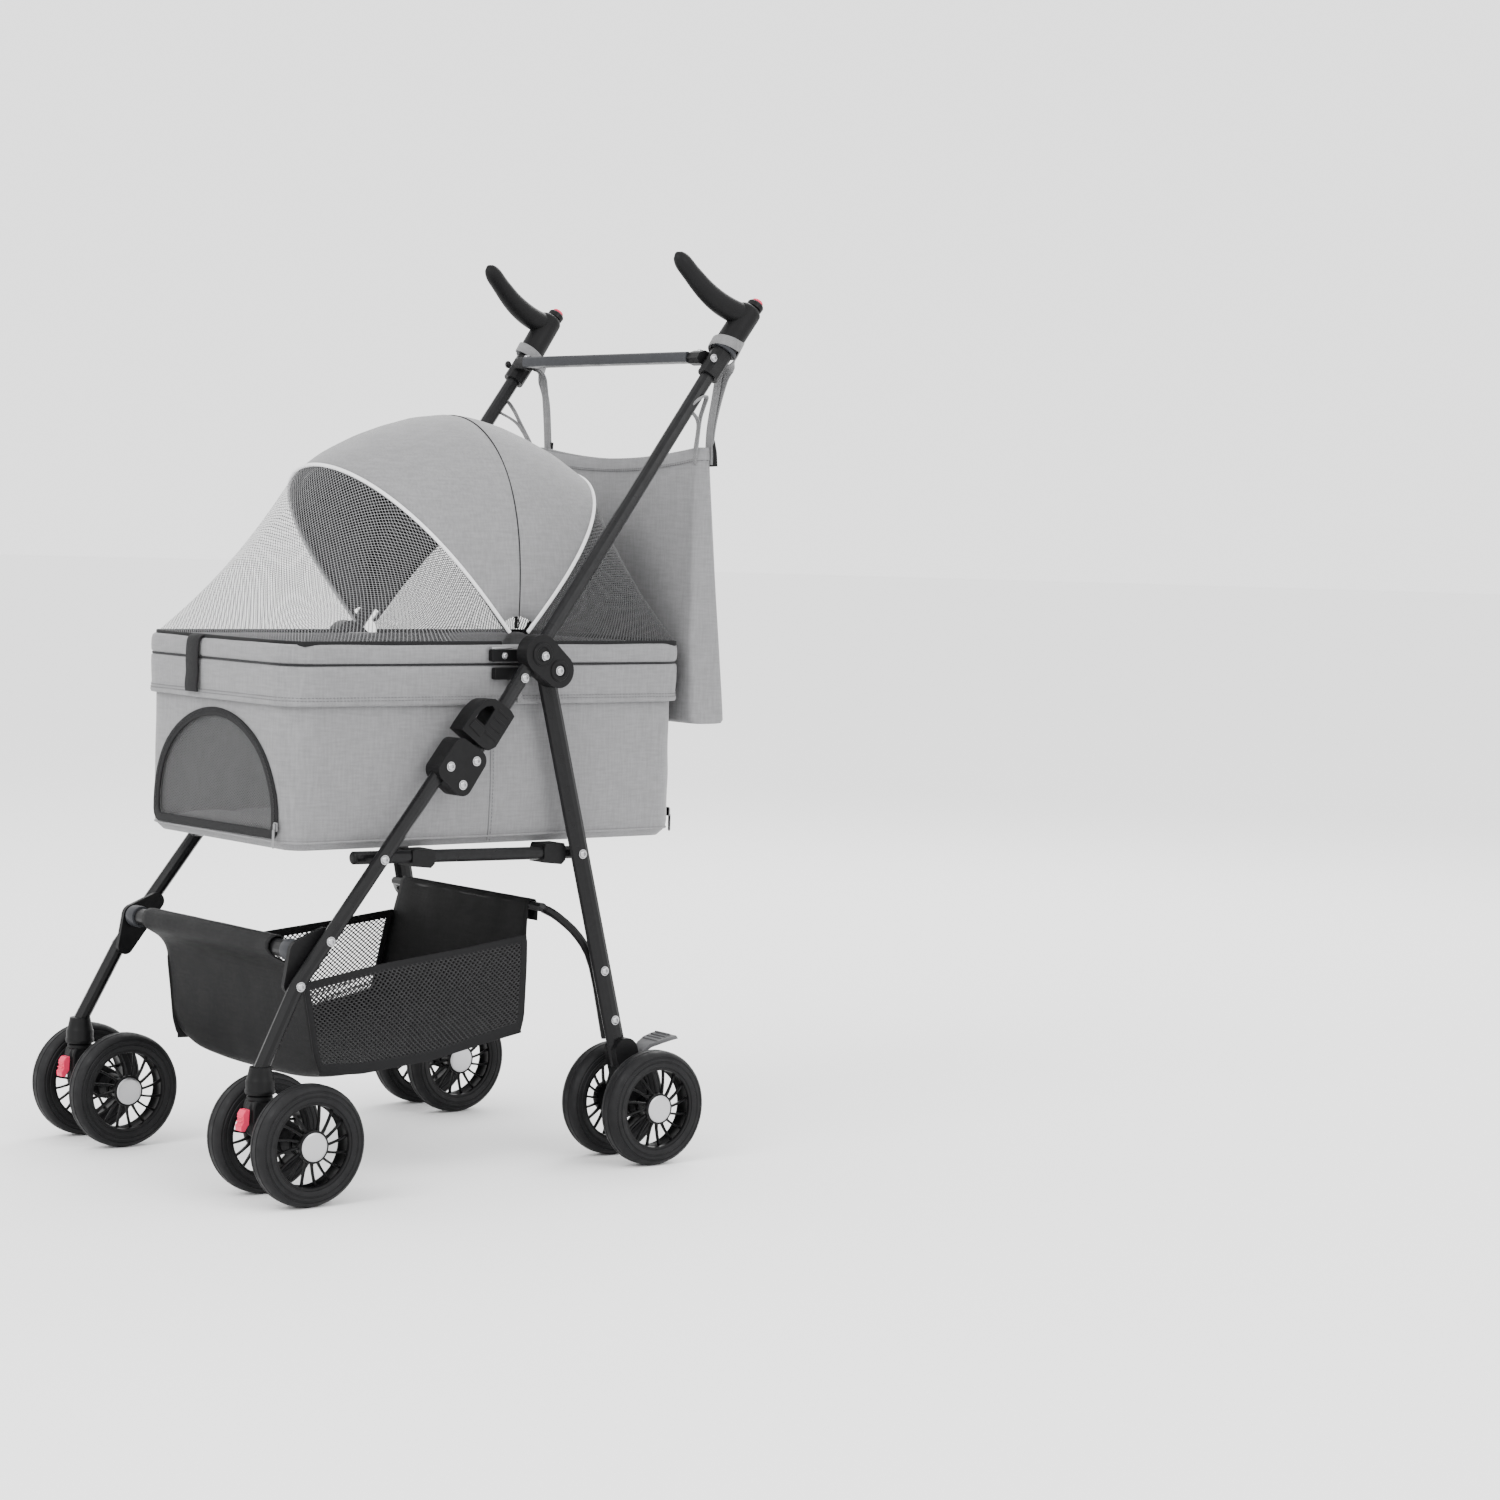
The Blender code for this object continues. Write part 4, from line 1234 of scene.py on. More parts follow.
@dataclass
class HandleFrame:
    """Handle tubes, hubs, crossbar and clamps, with their screws."""

    nodes: dict[str, bpy.types.Object]
    bar_y: float = 0.2620
    bar_z: float = 0.8900
    bar_half: float = 0.1597

    def crossbar(self) -> None:
        """The flat bar between the clamps, with a shallow channel on top and a bright lower edge."""
        half = [(-0.0118, 0.0002), (-0.0110, -0.0042), (-0.0080, -0.0055), (0.0080, -0.0055),
                (0.0110, -0.0042),
                (0.0118, 0.0002), (0.0110, 0.0055), (0.0096, 0.0070), (0.0070, 0.0070), (0.0062, 0.0062),
                (-0.0062, 0.0062), (-0.0070, 0.0070), (-0.0096, 0.0070), (-0.0110, 0.0055)]
        rings = []
        for x in (-self.bar_half, -0.10, 0.0, 0.10, self.bar_half):
            rings.append([Vector((x, self.bar_y + a, self.bar_z + b)) for a, b in half])
        bar = Maker().loft(rings).build("crossbar_profile", 25.0)
        fit(bar, BAR_PLASTIC, "handle_frame", ("crossbar",))

    def hub(self, side: Side) -> None:
        """A raised pad and rim on each hub's outer face.

        Args:
            side: which side it is on.
        """
        a, b = LINES.tube_point(0.1400), LINES.hub_pivot
        maker = Maker()
        for (y, z), radius in ((a, 0.0125), (b, 0.0115)):
            profile = [(radius, 0.2020), (radius, 0.2040), (radius - 0.0010, 0.2050),
                       (radius - 0.0045, 0.2050),
                       (radius - 0.0055, 0.2038), (0.0020, 0.2038)]
            maker.lathe(profile, side.at(0, y, z), (side.value, 0, 0), 36)
        fit(maker.build(f"hub_bosses_{side.tag}", 30.0), BLACK_PLASTIC, "handle_frame")

    def build(self) -> None:
        """Dress the CAD parts and add the small ones."""
        self.crossbar()
        for side in Side:
            keep_node(self.nodes, f"handle_tube_{side.tag}", TUBE_PAINT)
            keep_node(self.nodes, f"hub_{side.tag}", BLACK_PLASTIC, 0.0024)
            keep_node(self.nodes, f"crossbar_clamp_{side.tag}", BLACK_PLASTIC, 0.0016)
            self.hub(side)
            out = Vector((side.value, 0, 0))
            seats = [(0.2036, *LINES.tube_point(0.1403, 0.0042)), (0.2036, *LINES.hub_pivot),
                     (0.1978, *LINES.tube_point(0.1082))]
            screw_heads(f"handle_screws_{side.tag}", [(side.at(*seat), out) for seat in seats],
                        "handle_frame")
            bolts = [(side.at(0.2012, 0.2583, 0.8892), out),
                     (side.at(0.1690, 0.2636, 0.8972), Vector((0, 0.1, 1.0)).normalized())]
            screw_heads(f"clamp_screws_{side.tag}", bolts, "handle_frame", 0.0036)


@dataclass
class Latches:
    """Sleeves with a finger loop that slide up the handle tubes."""

    half_x: float = 0.0122

    def body(self, side: Side) -> bpy.types.Object:
        """The sleeve: a rounded block with its finger hole cut through.

        Args:
            side: which side it is on.

        Returns:
            The piece.
        """
        outline = [(0.0160, -0.0040), (0.0180, 0.0060), (0.0260, 0.0112), (0.0660, 0.0112), (0.0685, 0.0040),
                   (0.0680, -0.0100), (0.0668, -0.0200), (0.0610, -0.0275), (0.0540, -0.0315),
                   (0.0420, -0.0345),
                   (0.0250, -0.0352), (0.0165, -0.0350)]
        hole = [(0.0365, -0.0140), (0.0575, -0.0140), (0.0590, -0.0190), (0.0540, -0.0245), (0.0470, -0.0278),
                (0.0365, -0.0290)]
        start = LINES.tube_x - self.half_x
        block = Maker().prism([LINES.on_tube(side, u, w, start) for u, w in outline],
                              (side.value * 2 * self.half_x, 0, 0)).build(f"latch_{side.tag}_sleeve")
        cutter = Maker().prism([LINES.on_tube(side, u, w, start - 0.01) for u, w in hole],
                               (side.value * 0.05, 0, 0)).build("latch_hole")
        bore = Maker().sweep([LINES.on_tube(side, -0.01), LINES.on_tube(side, 0.09)],
                             oval(0.0084, 0.0084, 32),
                             (1, 0, 0)).build("latch_bore")
        cut(block, [cutter, bore])
        return bevel(block, 0.0026, 3, 40.0)

    def build(self) -> None:
        """Make both latches with their ribs and raised cheeks."""
        for side in Side:
            fit(self.body(side), BLACK_PLASTIC, f"latch_{side.tag}", (f"latch_{side.tag}",))
            cheek = [(0.0230, -0.0120), (0.0330, -0.0120), (0.0335, -0.0290), (0.0250, -0.0305)]
            maker = Maker()
            face = LINES.tube_x + self.half_x - 0.0003
            maker.prism([LINES.on_tube(side, u, w, face) for u, w in cheek], (side.value * 0.0012, 0, 0))
            for k in range(4):
                u = 0.0300 + k * 0.0095
                rib = [(u, -0.0100), (u + 0.0030, -0.0100), (u + 0.0030, 0.0080), (u, 0.0080)]
                maker.prism([LINES.on_tube(side, a, b, face) for a, b in rib], (side.value * 0.0009, 0, 0))
            ribs = bevel(maker.build(f"latch_{side.tag}_ribs"), 0.0005, 2)
            fit(ribs, BLACK_PLASTIC, f"latch_{side.tag}")


@dataclass
class Grips:
    """Curved hand grips with a grey ring and a red button at the back."""

    thick: float = 0.0150

    def line(self, side: Side) -> Path:
        """The grip's centre line.

        Args:
            side: which side it is on.

        Returns:
            The path.
        """
        points = [self.elbow(side), side.at(0.1925, 0.2980, 0.9410), side.at(0.1915, 0.2860, 0.9450),
                  side.at(0.1900, 0.2700, 0.9530), side.at(0.1885, 0.2530, 0.9650),
                  side.at(0.1865, 0.2340, 0.9830), side.at(0.1845, 0.2150, 1.0030)]
        return smooth_path(points, 8)

    def elbow(self, side: Side) -> Vector:
        """The point where the barrel meets the grip."""
        return side.at(0.1930, 0.3080, 0.9385)

    def section(self, share: float) -> Section:
        """The grip's section.

        Args:
            share: the share of the way along it.

        Returns:
            The section.
        """
        size = 0.0122 + 0.0016 * math.sin(math.pi * min(share * 1.2, 1.0)) - 0.0022 * share
        depth = size - 0.0010 * share
        if share > 0.90:
            shrink = math.sqrt(max(1 - ((share - 0.90) / 0.102) ** 2, 0.02))
            size, depth = size * shrink, depth * shrink
        return oval(size, depth, 28)

    def barrel_section(self, share: float) -> Section:
        """The barrel's section, stepped at its foot and rounded at its top."""
        size = 0.0128 if share < 0.04 else self.thick
        if share > 0.86:
            size *= math.sqrt(max(1 - ((share - 0.86) / 0.15) ** 2, 0.02))
        return oval(size, size, 28)

    def build(self) -> None:
        """Make both grips with their barrels, rings and buttons."""
        for side in Side:
            path = self.line(side)
            grip = Maker().sweep(path, self.section, (1, 0, 0)).build(f"grip_{side.tag}_body", 50.0)
            fit(grip, GRIP_PLASTIC, f"grip_{side.tag}", (f"grip_{side.tag}",))
            seat, top = LINES.on_tube(side, 0.5560), self.elbow(side)
            way = (top - seat).normalized()
            trunk = [seat.lerp(top + way * 0.0135, k / 40) for k in range(41)]
            barrel = Maker().sweep(trunk, self.barrel_section, (1, 0, 0)).build(f"grip_{side.tag}_barrel",
                                                                                50.0)
            fit(barrel, GRIP_PLASTIC, f"grip_{side.tag}")
            ring = [(0.0090, -0.0012), (0.0152, -0.0012), (0.0158, 0.0), (0.0158, 0.0022), (0.0150, 0.0034),
                    (0.0120, 0.0034)]
            band = Maker().lathe(ring, seat, way, 40).build(f"grip_ring_{side.tag}", 30.0)
            fit(band, BAR_PLASTIC, f"grip_{side.tag}")
            push = Vector((0, 0.62, 0.78)).normalized()
            back = top + way * 0.0040 + Vector((0, 0.0040, 0))
            profile = [(0.0068, 0.0128), (0.0070, 0.0140), (0.0066, 0.0166), (0.0050, 0.0182),
                       (0.0022, 0.0189)]
            button = Maker().lathe(profile, back, push, 32).build(f"grip_button_{side.tag}_cap", 35.0)
            fit(button, RED_PLASTIC, f"button_{side.tag}", (f"grip_button_{side.tag}",))
            collar = [(0.0074, 0.0060), (0.0096, 0.0070), (0.0098, 0.0120), (0.0086, 0.0138),
                      (0.0074, 0.0136)]
            cup = Maker().lathe(collar + [(0.0073, 0.0060)], back, push, 32)
            cup.faces = [face for face in cup.faces if len(face) == 4]
            fit(cup.build(f"grip_button_collar_{side.tag}", 35.0), BLACK_PLASTIC,
                f"grip_{side.tag}")


# ---------------------------------------------------------------- links and rear frame


@dataclass
class LinksAndRear:
    """Side links, saddles, rear legs, axle blocks, pedals and the basket's rear tube."""

    nodes: dict[str, bpy.types.Object]

    def pedal(self, side: Side) -> None:
        """A flared brake pedal with ribs on its tread.

        Args:
            side: which side it is on.
        """
        rows = [(0.1768, 0.1120, 0.0085), (0.1800, 0.1225, 0.0090), (0.1880, 0.1290, 0.0120),
                (0.2000, 0.1335, 0.0170), (0.2110, 0.1362, 0.0188), (0.2195, 0.1376, 0.0192)]
        rings = []
        for y, z, half in rows:
            rings.append([side.at(0.196 - half, y, z), side.at(0.196 + half, y, z),
                          side.at(0.196 + half, y + 0.0028, z - 0.0040),
                          side.at(0.196 - half, y + 0.0028, z - 0.0040)])
        maker = Maker().loft(rings)
        for k in range(4):
            y, z = 0.1960 + 0.0058 * k, 0.1326 + 0.0018 * k
            rib = [side.at(0.196 - 0.0140, y, z - 0.001), side.at(0.196 + 0.0140, y, z - 0.001),
                   side.at(0.196 + 0.0140, y + 0.0018, z - 0.001),
                   side.at(0.196 - 0.0140, y + 0.0018, z - 0.001)]
            maker.prism(rib, (0, 0, 0.0021))
        tread = bevel(maker.build(f"brake_pedal_{side.tag}_tread"), 0.0009, 2)
        fit(tread, PEDAL_PLASTIC, f"brake_{side.tag}", (f"brake_pedal_{side.tag}",))

    def build(self) -> None:
        """Dress the CAD parts and add the small ones."""
        keep_node(self.nodes, "rear_basket_tube", TUBE_PAINT)
        for side in Side:
            keep_node(self.nodes, f"side_link_{side.tag}", TUBE_PAINT)
            keep_node(self.nodes, f"rear_leg_{side.tag}", TUBE_PAINT)
            keep_node(self.nodes, f"rear_axle_block_{side.tag}", BLACK_PLASTIC, 0.0018)
            for place in ("front", "rear"):
                keep_node(self.nodes, f"saddle_{place}_{side.tag}", BLACK_PLASTIC, 0.0016)
            self.pedal(side)
            out = Vector((side.value, 0, 0.045)).normalized()
            seats = [(0.1908, 0.1028, 0.3425), (0.1965, 0.1321, 0.2127), (0.1988, 0.1462, 0.1575)]
            screw_heads(f"rear_screws_{side.tag}", [(side.at(*seat), out) for seat in seats], "rear_frame")
            plug = [(0.0030, -0.0010), (0.0068, -0.0008), (0.0070, 0.0010), (0.0055, 0.0024),
                    (0.0030, 0.0028)]
            end = Maker().lathe(plug, side.at(0.1690, -0.1767, 0.3476), (0, -1, 0), 28)
            fit(end.build(f"link_plug_{side.tag}"), BLACK_PLASTIC, "side_links")


# ---------------------------------------------------------------- carrier


@dataclass(frozen=True)
class LoopPoint:
    """A point of a level loop with its outward direction."""

    x: float
    y: float
    out_x: float
    out_y: float


def level_loop(half_x: float, low_y: float, high_y: float, corner: float, spacing: float = 0.008,
               parts: tuple[int, int] | None = None) -> list[LoopPoint]:
    """A rectangle with round corners, as closely spaced points.

    Args:
        half_x: half its width.
        low_y: its front.
        high_y: its back.
        corner: the corners' radius.
        spacing: between points on the straight sides, in metres.
        parts: how many parts the sides across and along have, instead of a spacing.

    Returns:
        The points, counter-clockwise from the rear right corner.
    """
    corners = ((half_x - corner, high_y - corner, 0), (corner - half_x, high_y - corner, 90),
               (corner - half_x, low_y + corner, 180), (half_x - corner, low_y + corner, 270))
    loop: list[LoopPoint] = []
    for k, (cx, cy, start) in enumerate(corners):
        for i in range(9):
            angle = math.radians(start + 90 * i / 8)
            out_x, out_y = math.cos(angle), math.sin(angle)
            loop.append(LoopPoint(cx + corner * out_x, cy + corner * out_y, out_x, out_y))
        nx, ny, _ = corners[(k + 1) % 4]
        end = math.radians(corners[(k + 1) % 4][2])
        last = loop[-1]
        target = (nx + corner * math.cos(end), ny + corner * math.sin(end))
        length = math.hypot(target[0] - last.x, target[1] - last.y)
        count = parts[k % 2] if parts else max(2, round(length / spacing))
        for i in range(1, count):
            share = i / count
            loop.append(LoopPoint(last.x + (target[0] - last.x) * share,
                                  last.y + (target[1] - last.y) * share,
                                  last.out_x, last.out_y))
    return loop


def arch_outline(half_x: float, low: float, high: float, steps: int = 28) -> list[tuple[float, float]]:
    """A door's outline with a flat foot and a round top.

    Args:
        half_x: half its width.
        low: its foot's height.
        high: its top's height.
        steps: how many parts the round top has.

    Returns:
        The points as (x, z), from the right foot up and over to the left foot.
    """
    rise = min(half_x, high - low - 0.02)
    points = [(half_x, low + 0.010)]
    for k in range(steps + 1):
        angle = math.pi * k / steps
        points.append((half_x * math.cos(angle), high - rise + rise * math.sin(angle)))
    points.append((-half_x, low + 0.010))
    for k in range(1, 4):
        angle = math.radians(180 + 90 * k / 3)
        points.append((-half_x + 0.010 + 0.010 * math.cos(angle), low + 0.010 + 0.010 * math.sin(angle)))
    for k in range(1, 4):
        angle = math.radians(270 + 90 * k / 3)
        points.append((half_x - 0.010 + 0.010 * math.cos(angle), low + 0.010 + 0.010 * math.sin(angle)))
    return points[:-1]


@dataclass
class Carrier:
    """Soft cabin with its band, doors, zips, tab, clips and mat."""

    nodes: dict[str, bpy.types.Object]
    half_x: float = 0.1555
    front: float = -0.2465
    rear: float = 0.2575
    bottom: float = 0.3545
    top: float = 0.5080
    corner: float = 0.0300
    door_half: float = 0.1280
    door_low: float = 0.3665
    front_door_top: float = 0.4960
    rear_door_top: float = 0.4680
    band_half_x: float = 0.1600
    band_front: float = -0.2510
    band_rear: float = 0.2640
    band_low: float = 0.5055

    def swell(self, x: float, y: float, out_x: float, out_y: float, z: float) -> float:
        """How far the cabin's cloth stands out from its plain box.

        Args:
            x: the point's place across.
            y: the point's place along.
            out_x: the outward direction's X.
            out_y: the outward direction's Y.
            z: the height.

        Returns:
            The distance outwards, in metres.
        """
        level = min(max((z - self.bottom) / (self.top - self.bottom), 0.0), 1.0)
        middle_y = (self.front + self.rear) / 2
        flat_x = max(0.0, 1 - (x / self.half_x) ** 2)
        flat_y = max(0.0, 1 - ((y - middle_y) / (self.rear - middle_y)) ** 2)
        belly = math.sin(math.pi * level ** 0.85)
        amount = belly * (0.0040 * abs(out_x) * flat_y + 0.0022 * abs(out_y) * flat_x)
        crease = noise.noise(Vector((x * 9, y * 9, z * 26))) * 0.0009
        crease += noise.noise(Vector((x * 30 + 5, y * 30, z * 10))) * 0.0005
        tuck = -0.0012 * math.exp(-((z - self.bottom - 0.006) / 0.004) ** 2)
        return amount + crease * (0.4 + belly * 0.6) + tuck

    def wall_rows(self, inset: float, low: float) -> list[list[Vector]]:
        """Rows of the cabin's wall from its foot to its top.

        Args:
            inset: how far inside the outer face it lies.
            low: the height of the lowest row.

        Returns:
            The rows.
        """
        rows = []
        loop = level_loop(self.half_x - inset, self.front + inset, self.rear - inset,
                          self.corner - inset * 0.5)
        for k in range(19):
            z = low + (self.top - low) * k / 18
            foot = 0.0100 * max(0.0, 1 - (z - low) / 0.0110) ** 2
            row = []
            for p in loop:
                out = self.swell(p.x, p.y, p.out_x, p.out_y, z) - foot
                row.append(Vector((p.x + p.out_x * out, p.y + p.out_y * out, z)))
            rows.append(row)
        return rows

    def face(self, end: int, x: float, z: float, out: float) -> Vector:
        """A point on the front or rear wall.

        Args:
            end: -1 for the front, 1 for the rear.
            x: across.
            z: the height.
            out: how far outside the cloth.

        Returns:
            The point.
        """
        y = self.front if end < 0 else self.rear
        return Vector((x, y + end * (self.swell(x, y, 0.0, end, z) + out), z))

    def shell(self, name: str, inset: float, low: float, thickness: float) -> bpy.types.Object:
        """The wall and floor with both door holes cut.

        Args:
            name: the piece's name.
            inset: how far inside the outer face it lies.
            low: the height of its foot.
            thickness: of the cloth.

        Returns:
            The piece.
        """
        rows = self.wall_rows(inset, low)
        base = rows[0]
        middle = Vector((0, (self.front + self.rear) / 2, low))
        floor = [[middle.lerp(p, share) - Vector((0, 0, 0.0006 * (1 - share))) for p in base]
                 for share in (0.06, 0.3, 0.55, 0.75, 0.9, 0.97)]
        maker = Maker().grid(floor + rows, True)
        count = len(base)
        maker.faces.append(tuple(range(count)))
        piece = thicken(maker.build(name, 80.0), thickness)
        cutters = []
        for end, high in ((-1, self.front_door_top), (1, self.rear_door_top)):
            y = self.front if end < 0 else self.rear
            outline = arch_outline(self.door_half - 0.0060, self.door_low + 0.0050, high - 0.0060)
            cutters.append(Maker().prism([(x, y - 0.02, z) for x, z in outline],
                                         (0, 0.04, 0)).build("door_cut"))
        return cut(piece, cutters)

    def band(self) -> None:
        """The stiff band round the top, with a zip line under its upper edge and stitching."""
        loop = level_loop(self.band_half_x, self.band_front, self.band_rear, 0.0345)
        profile = [(-0.0050, 0.5100), (-0.0010, 0.5058), (0.0010, 0.5062), (0.0020, 0.5085), (0.0012, 0.5130),
                   (0.0008, 0.5180), (0.0014, 0.5280), (0.0016, 0.5400), (0.0012, 0.5462), (-0.0004, 0.5478),
                   (-0.0018, 0.5492), (-0.0004, 0.5506), (0.0012, 0.5524), (0.0016, 0.5580), (0.0014, 0.5640),
                   (0.0004, 0.5685), (-0.0022, 0.5706), (-0.0052, 0.5700), (-0.0070, 0.5670),
                   (-0.0080, 0.5400),
                   (-0.0082, 0.5120)]
        rows = []
        for out, z in profile:
            row = []
            for p in loop:
                ripple = noise.noise(Vector((p.x * 16, p.y * 16, z * 30))) * 0.0007
                lift = noise.noise(Vector((p.x * 10 + 3, p.y * 10, 0))) * 0.0006
                reach = out + ripple
                row.append(Vector((p.x + p.out_x * reach, p.y + p.out_y * reach, z + lift)))
            rows.append(row)
        maker = Maker().grid(rows, True)
        count = len(loop)
        last = (len(rows) - 1) * count
        for i in range(count):
            j = (i + 1) % count
            maker.faces.append((last + i, last + j, j, i))
        piece = maker.build("carrier_band", 60.0)
        fit(piece, SHELL_CLOTH, "carrier", ("carrier_rim",))
        groove = [Vector((p.x - p.out_x * 0.0006, p.y - p.out_y * 0.0006, 0.5492)) for p in loop]
        zip_line = Maker().sweep(groove, soft_bar(0.0014, 0.0011, 0.0006, 2), (0, 0, 1), True)
        fit(zip_line.build("band_zip"), DARK_THREAD, "carrier")
        for k, (z, out) in enumerate(((0.5118, 0.0017), (0.5150, 0.0013))):
            line = [Vector((p.x + p.out_x * out, p.y + p.out_y * out, z)) for p in loop]
            stitches(f"band_stitch_{k}", line, THREAD, "carrier",
                     lambda q: self.outward(q), closed=True)

    def outward(self, point: Vector) -> Vector:
        """The level outward direction near the cabin's outline.

        Args:
            point: where.

        Returns:
            The direction.
        """
        inner_x, middle_y = self.half_x - self.corner, (self.front + self.rear) / 2
        inner_y = (self.rear - self.front) / 2 - self.corner
        dx = point.x - max(-inner_x, min(inner_x, point.x))
        dy = point.y - middle_y - max(-inner_y, min(inner_y, point.y - middle_y))
        return Vector((dx, dy, 0)).normalized() if abs(dx) + abs(dy) > 1e-6 else Vector((1, 0, 0))

    def door(self, end: int, high: float) -> None:
        """A net door with its binding, zip teeth and pull.

        Args:
            end: -1 for the front, 1 for the rear.
            high: the door's top.
        """
        word = "front" if end < 0 else "rear"
        body = f"{word}_flap"
        half = self.door_half - 0.0035
        outline = arch_outline(half, self.door_low + 0.0030, high - 0.0035)
        low, rise = self.door_low + 0.0030, high - self.door_low
        rows = []
        for r in range(15):
            level = r / 14
            z = low + (high - 0.0035 - low) * level
            reach = 0.0
            for (xa, za), (xb, zb) in zip(outline, outline[1:] + outline[:1]):
                if min(za, zb) - 1e-9 <= z <= max(za, zb) + 1e-9 and abs(zb - za) > 1e-9:
                    reach = max(reach, abs(xa + (xb - xa) * (z - za) / (zb - za)))
            reach = max(reach, 0.010 if r else half - 0.006)
            row = []
            for c in range(25):
                x = reach * (2 * c / 24 - 1)
                hollow = 0.0016 * math.sin(math.pi * level) * (1 - (x / max(reach, 1e-3)) ** 2)
                row.append(self.face(end, x, z, -0.0018 - hollow))
            rows.append(row)
        net = Maker().grid(rows).build(f"{word}_door_net", 80.0)
        fit(net, DOOR_NET, body, (f"{word}_door",))
        ring = [self.face(end, x, z, 0.0009) for x, z in outline]
        ring = even_path(ring, 0.006, True)
        binding = Maker().loft(self.flat_rings(ring, end, 0.0046, 0.0012), True)
        piece = binding.build(f"{word}_door_binding", 50.0)
        fit(piece, TRIM_CLOTH, body)
        outer = [self.face(end, x * (half + 0.0052) / half,
                           low + (z - low) * (rise + 0.0035) / rise - 0.0020, 0.0010)
                 for x, z in outline]
        outer = even_path(outer, 0.005, True)
        tape = Maker().loft(self.flat_rings(outer, end, 0.0030, 0.0008), True)
        fit(tape.build(f"{word}_zip_tape", 50.0), TRIM_CLOTH, "carrier")
        self.teeth(word, end, outline, half)
        self.pull(word, end)

    def flat_rings(self, line: Path, end: int, half_width: float, half_thick: float) -> list[list[Vector]]:
        """Sections of a flat tape that lies on the front or rear wall.

        Args:
            line: its centre line.
            end: -1 for the front, 1 for the rear.
            half_width: half its width.
            half_thick: half its thickness.

        Returns:
            The rings.
        """
        rings = []
        out = Vector((0, end, 0))
        for here, (run, _, _) in zip(line, frames(line, out, True)):
            side = run.cross(out).normalized()
            rings.append([here + side * a + out * b
                          for a, b in soft_bar(half_width, half_thick, half_thick * 0.9, 2)])
        return rings

    def teeth(self, word: str, end: int, outline: Sequence[tuple[float, float]], half: float) -> None:
        """Zip teeth along a door's arch.

        Args:
            word: front or rear.
            end: -1 for the front, 1 for the rear.
            outline: the door's outline as (x, z).
            half: the door's half width.
        """
        maker = Maker()
        arch = outline[:31]
        line = even_path([self.face(end, x * (half + 0.0026) / half, z + 0.0012, 0.0020) for x, z in arch],
                         0.0025)
        out = Vector((0, end, 0))
        for k, (here, (run, _, _)) in enumerate(zip(line, frames(line, out))):
            side = run.cross(out).normalized()
            shift = 0.0006 if k % 2 else -0.0006
            corners = [(-0.0007, -0.0013), (0.0007, -0.0013), (0.0007, 0.0013), (-0.0007, 0.0013)]
            low = [here + run * a + side * (b + shift) - out * 0.0004 for a, b in corners]
            maker.prism(low, out * 0.0010)
        fit(maker.build(f"{word}_zip_teeth", 30.0), DARK_THREAD, "carrier")

    def pull(self, word: str, end: int) -> None:
        """A zip's slider with its hanging tab.

        Args:
            word: front or rear.
            end: -1 for the front, 1 for the rear.
        """
        x, z = self.door_half + 0.0048, self.door_low + 0.0130
        maker = Maker()
        seat = self.face(end, x, z, 0.0030)
        out = Vector((0, end, 0))
        for half_a, half_b, depth, drop in ((0.0034, 0.0050, 0.0014, 0.0), (0.0018, 0.0036, 0.0030, 0.0)):
            ring = [seat + Vector((a, 0, b - drop)) for a, b in soft_bar(half_a, half_b, 0.0012, 2)]
            maker.prism(ring, out * depth)
        tab = [seat + out * 0.0028 + Vector((a, 0, b - 0.0125)) for a,
               b in soft_bar(0.0021, 0.0100, 0.0019, 3)]
        maker.prism(tab, out * 0.0009)
        fit(bevel(maker.build(f"{word}_zip_pull"), 0.0003, 2), PULL_STEEL, "carrier")

    def trims(self) -> None:
        """Side seams with their stitching, the front tab and the foot's piping."""
        for side in Side:
            line = []
            for k in range(26):
                z = self.bottom + 0.004 + (self.band_low - self.bottom - 0.004) * k / 25
                bulge = self.swell(side.value * self.half_x, 0.0, side.value, 0, z)
                line.append(side.at(self.half_x + bulge + 0.0001, 0.0, z))
            seam = Maker().sweep(line, soft_bar(0.0006, 0.0004, 0.0003, 2), (side.value, 0, 0))
            fit(seam.build(f"side_seam_mid_{side.tag}"), THREAD, "carrier")
            beside = [p + Vector((0, 0.0035, 0.0)) for p in line]
            stitches(f"side_stitch_mid_{side.tag}", beside, THREAD, "carrier",
                     lambda q: self.outward(q))
        loop = level_loop(self.half_x, self.front, self.rear, self.corner)
        foot = [Vector((p.x + p.out_x * (self.swell(p.x, p.y, p.out_x, p.out_y, 0.3640) - 0.0004),
                        p.y + p.out_y * (self.swell(p.x, p.y, p.out_x, p.out_y, 0.3640) - 0.0004), 0.3632))
                for p in loop]
        cord = Maker().sweep(foot, oval(0.0012, 0.0012, 8), (0, 0, 1), True)
        fit(cord.build("foot_piping"), SHELL_CLOTH, "carrier")
        tab_line = [Vector((-0.037, -0.2400, 0.5725)), Vector((-0.037, -0.2480, 0.5728)),
                    Vector((-0.037, -0.2548, 0.5680)), Vector((-0.037, -0.2565, 0.5480)),
                    Vector((-0.037, -0.2560, 0.5330)), Vector((-0.037, -0.2572, 0.5200)),
                    Vector((-0.037, -0.2566, 0.5120))]
        tab = Maker().sweep(smooth_path(tab_line, 5), soft_bar(0.0130, 0.0011, 0.0009, 2), (0, -1, 0.2))
        fit(tab.build("front_tab", 50.0), TRIM_CLOTH, "carrier")

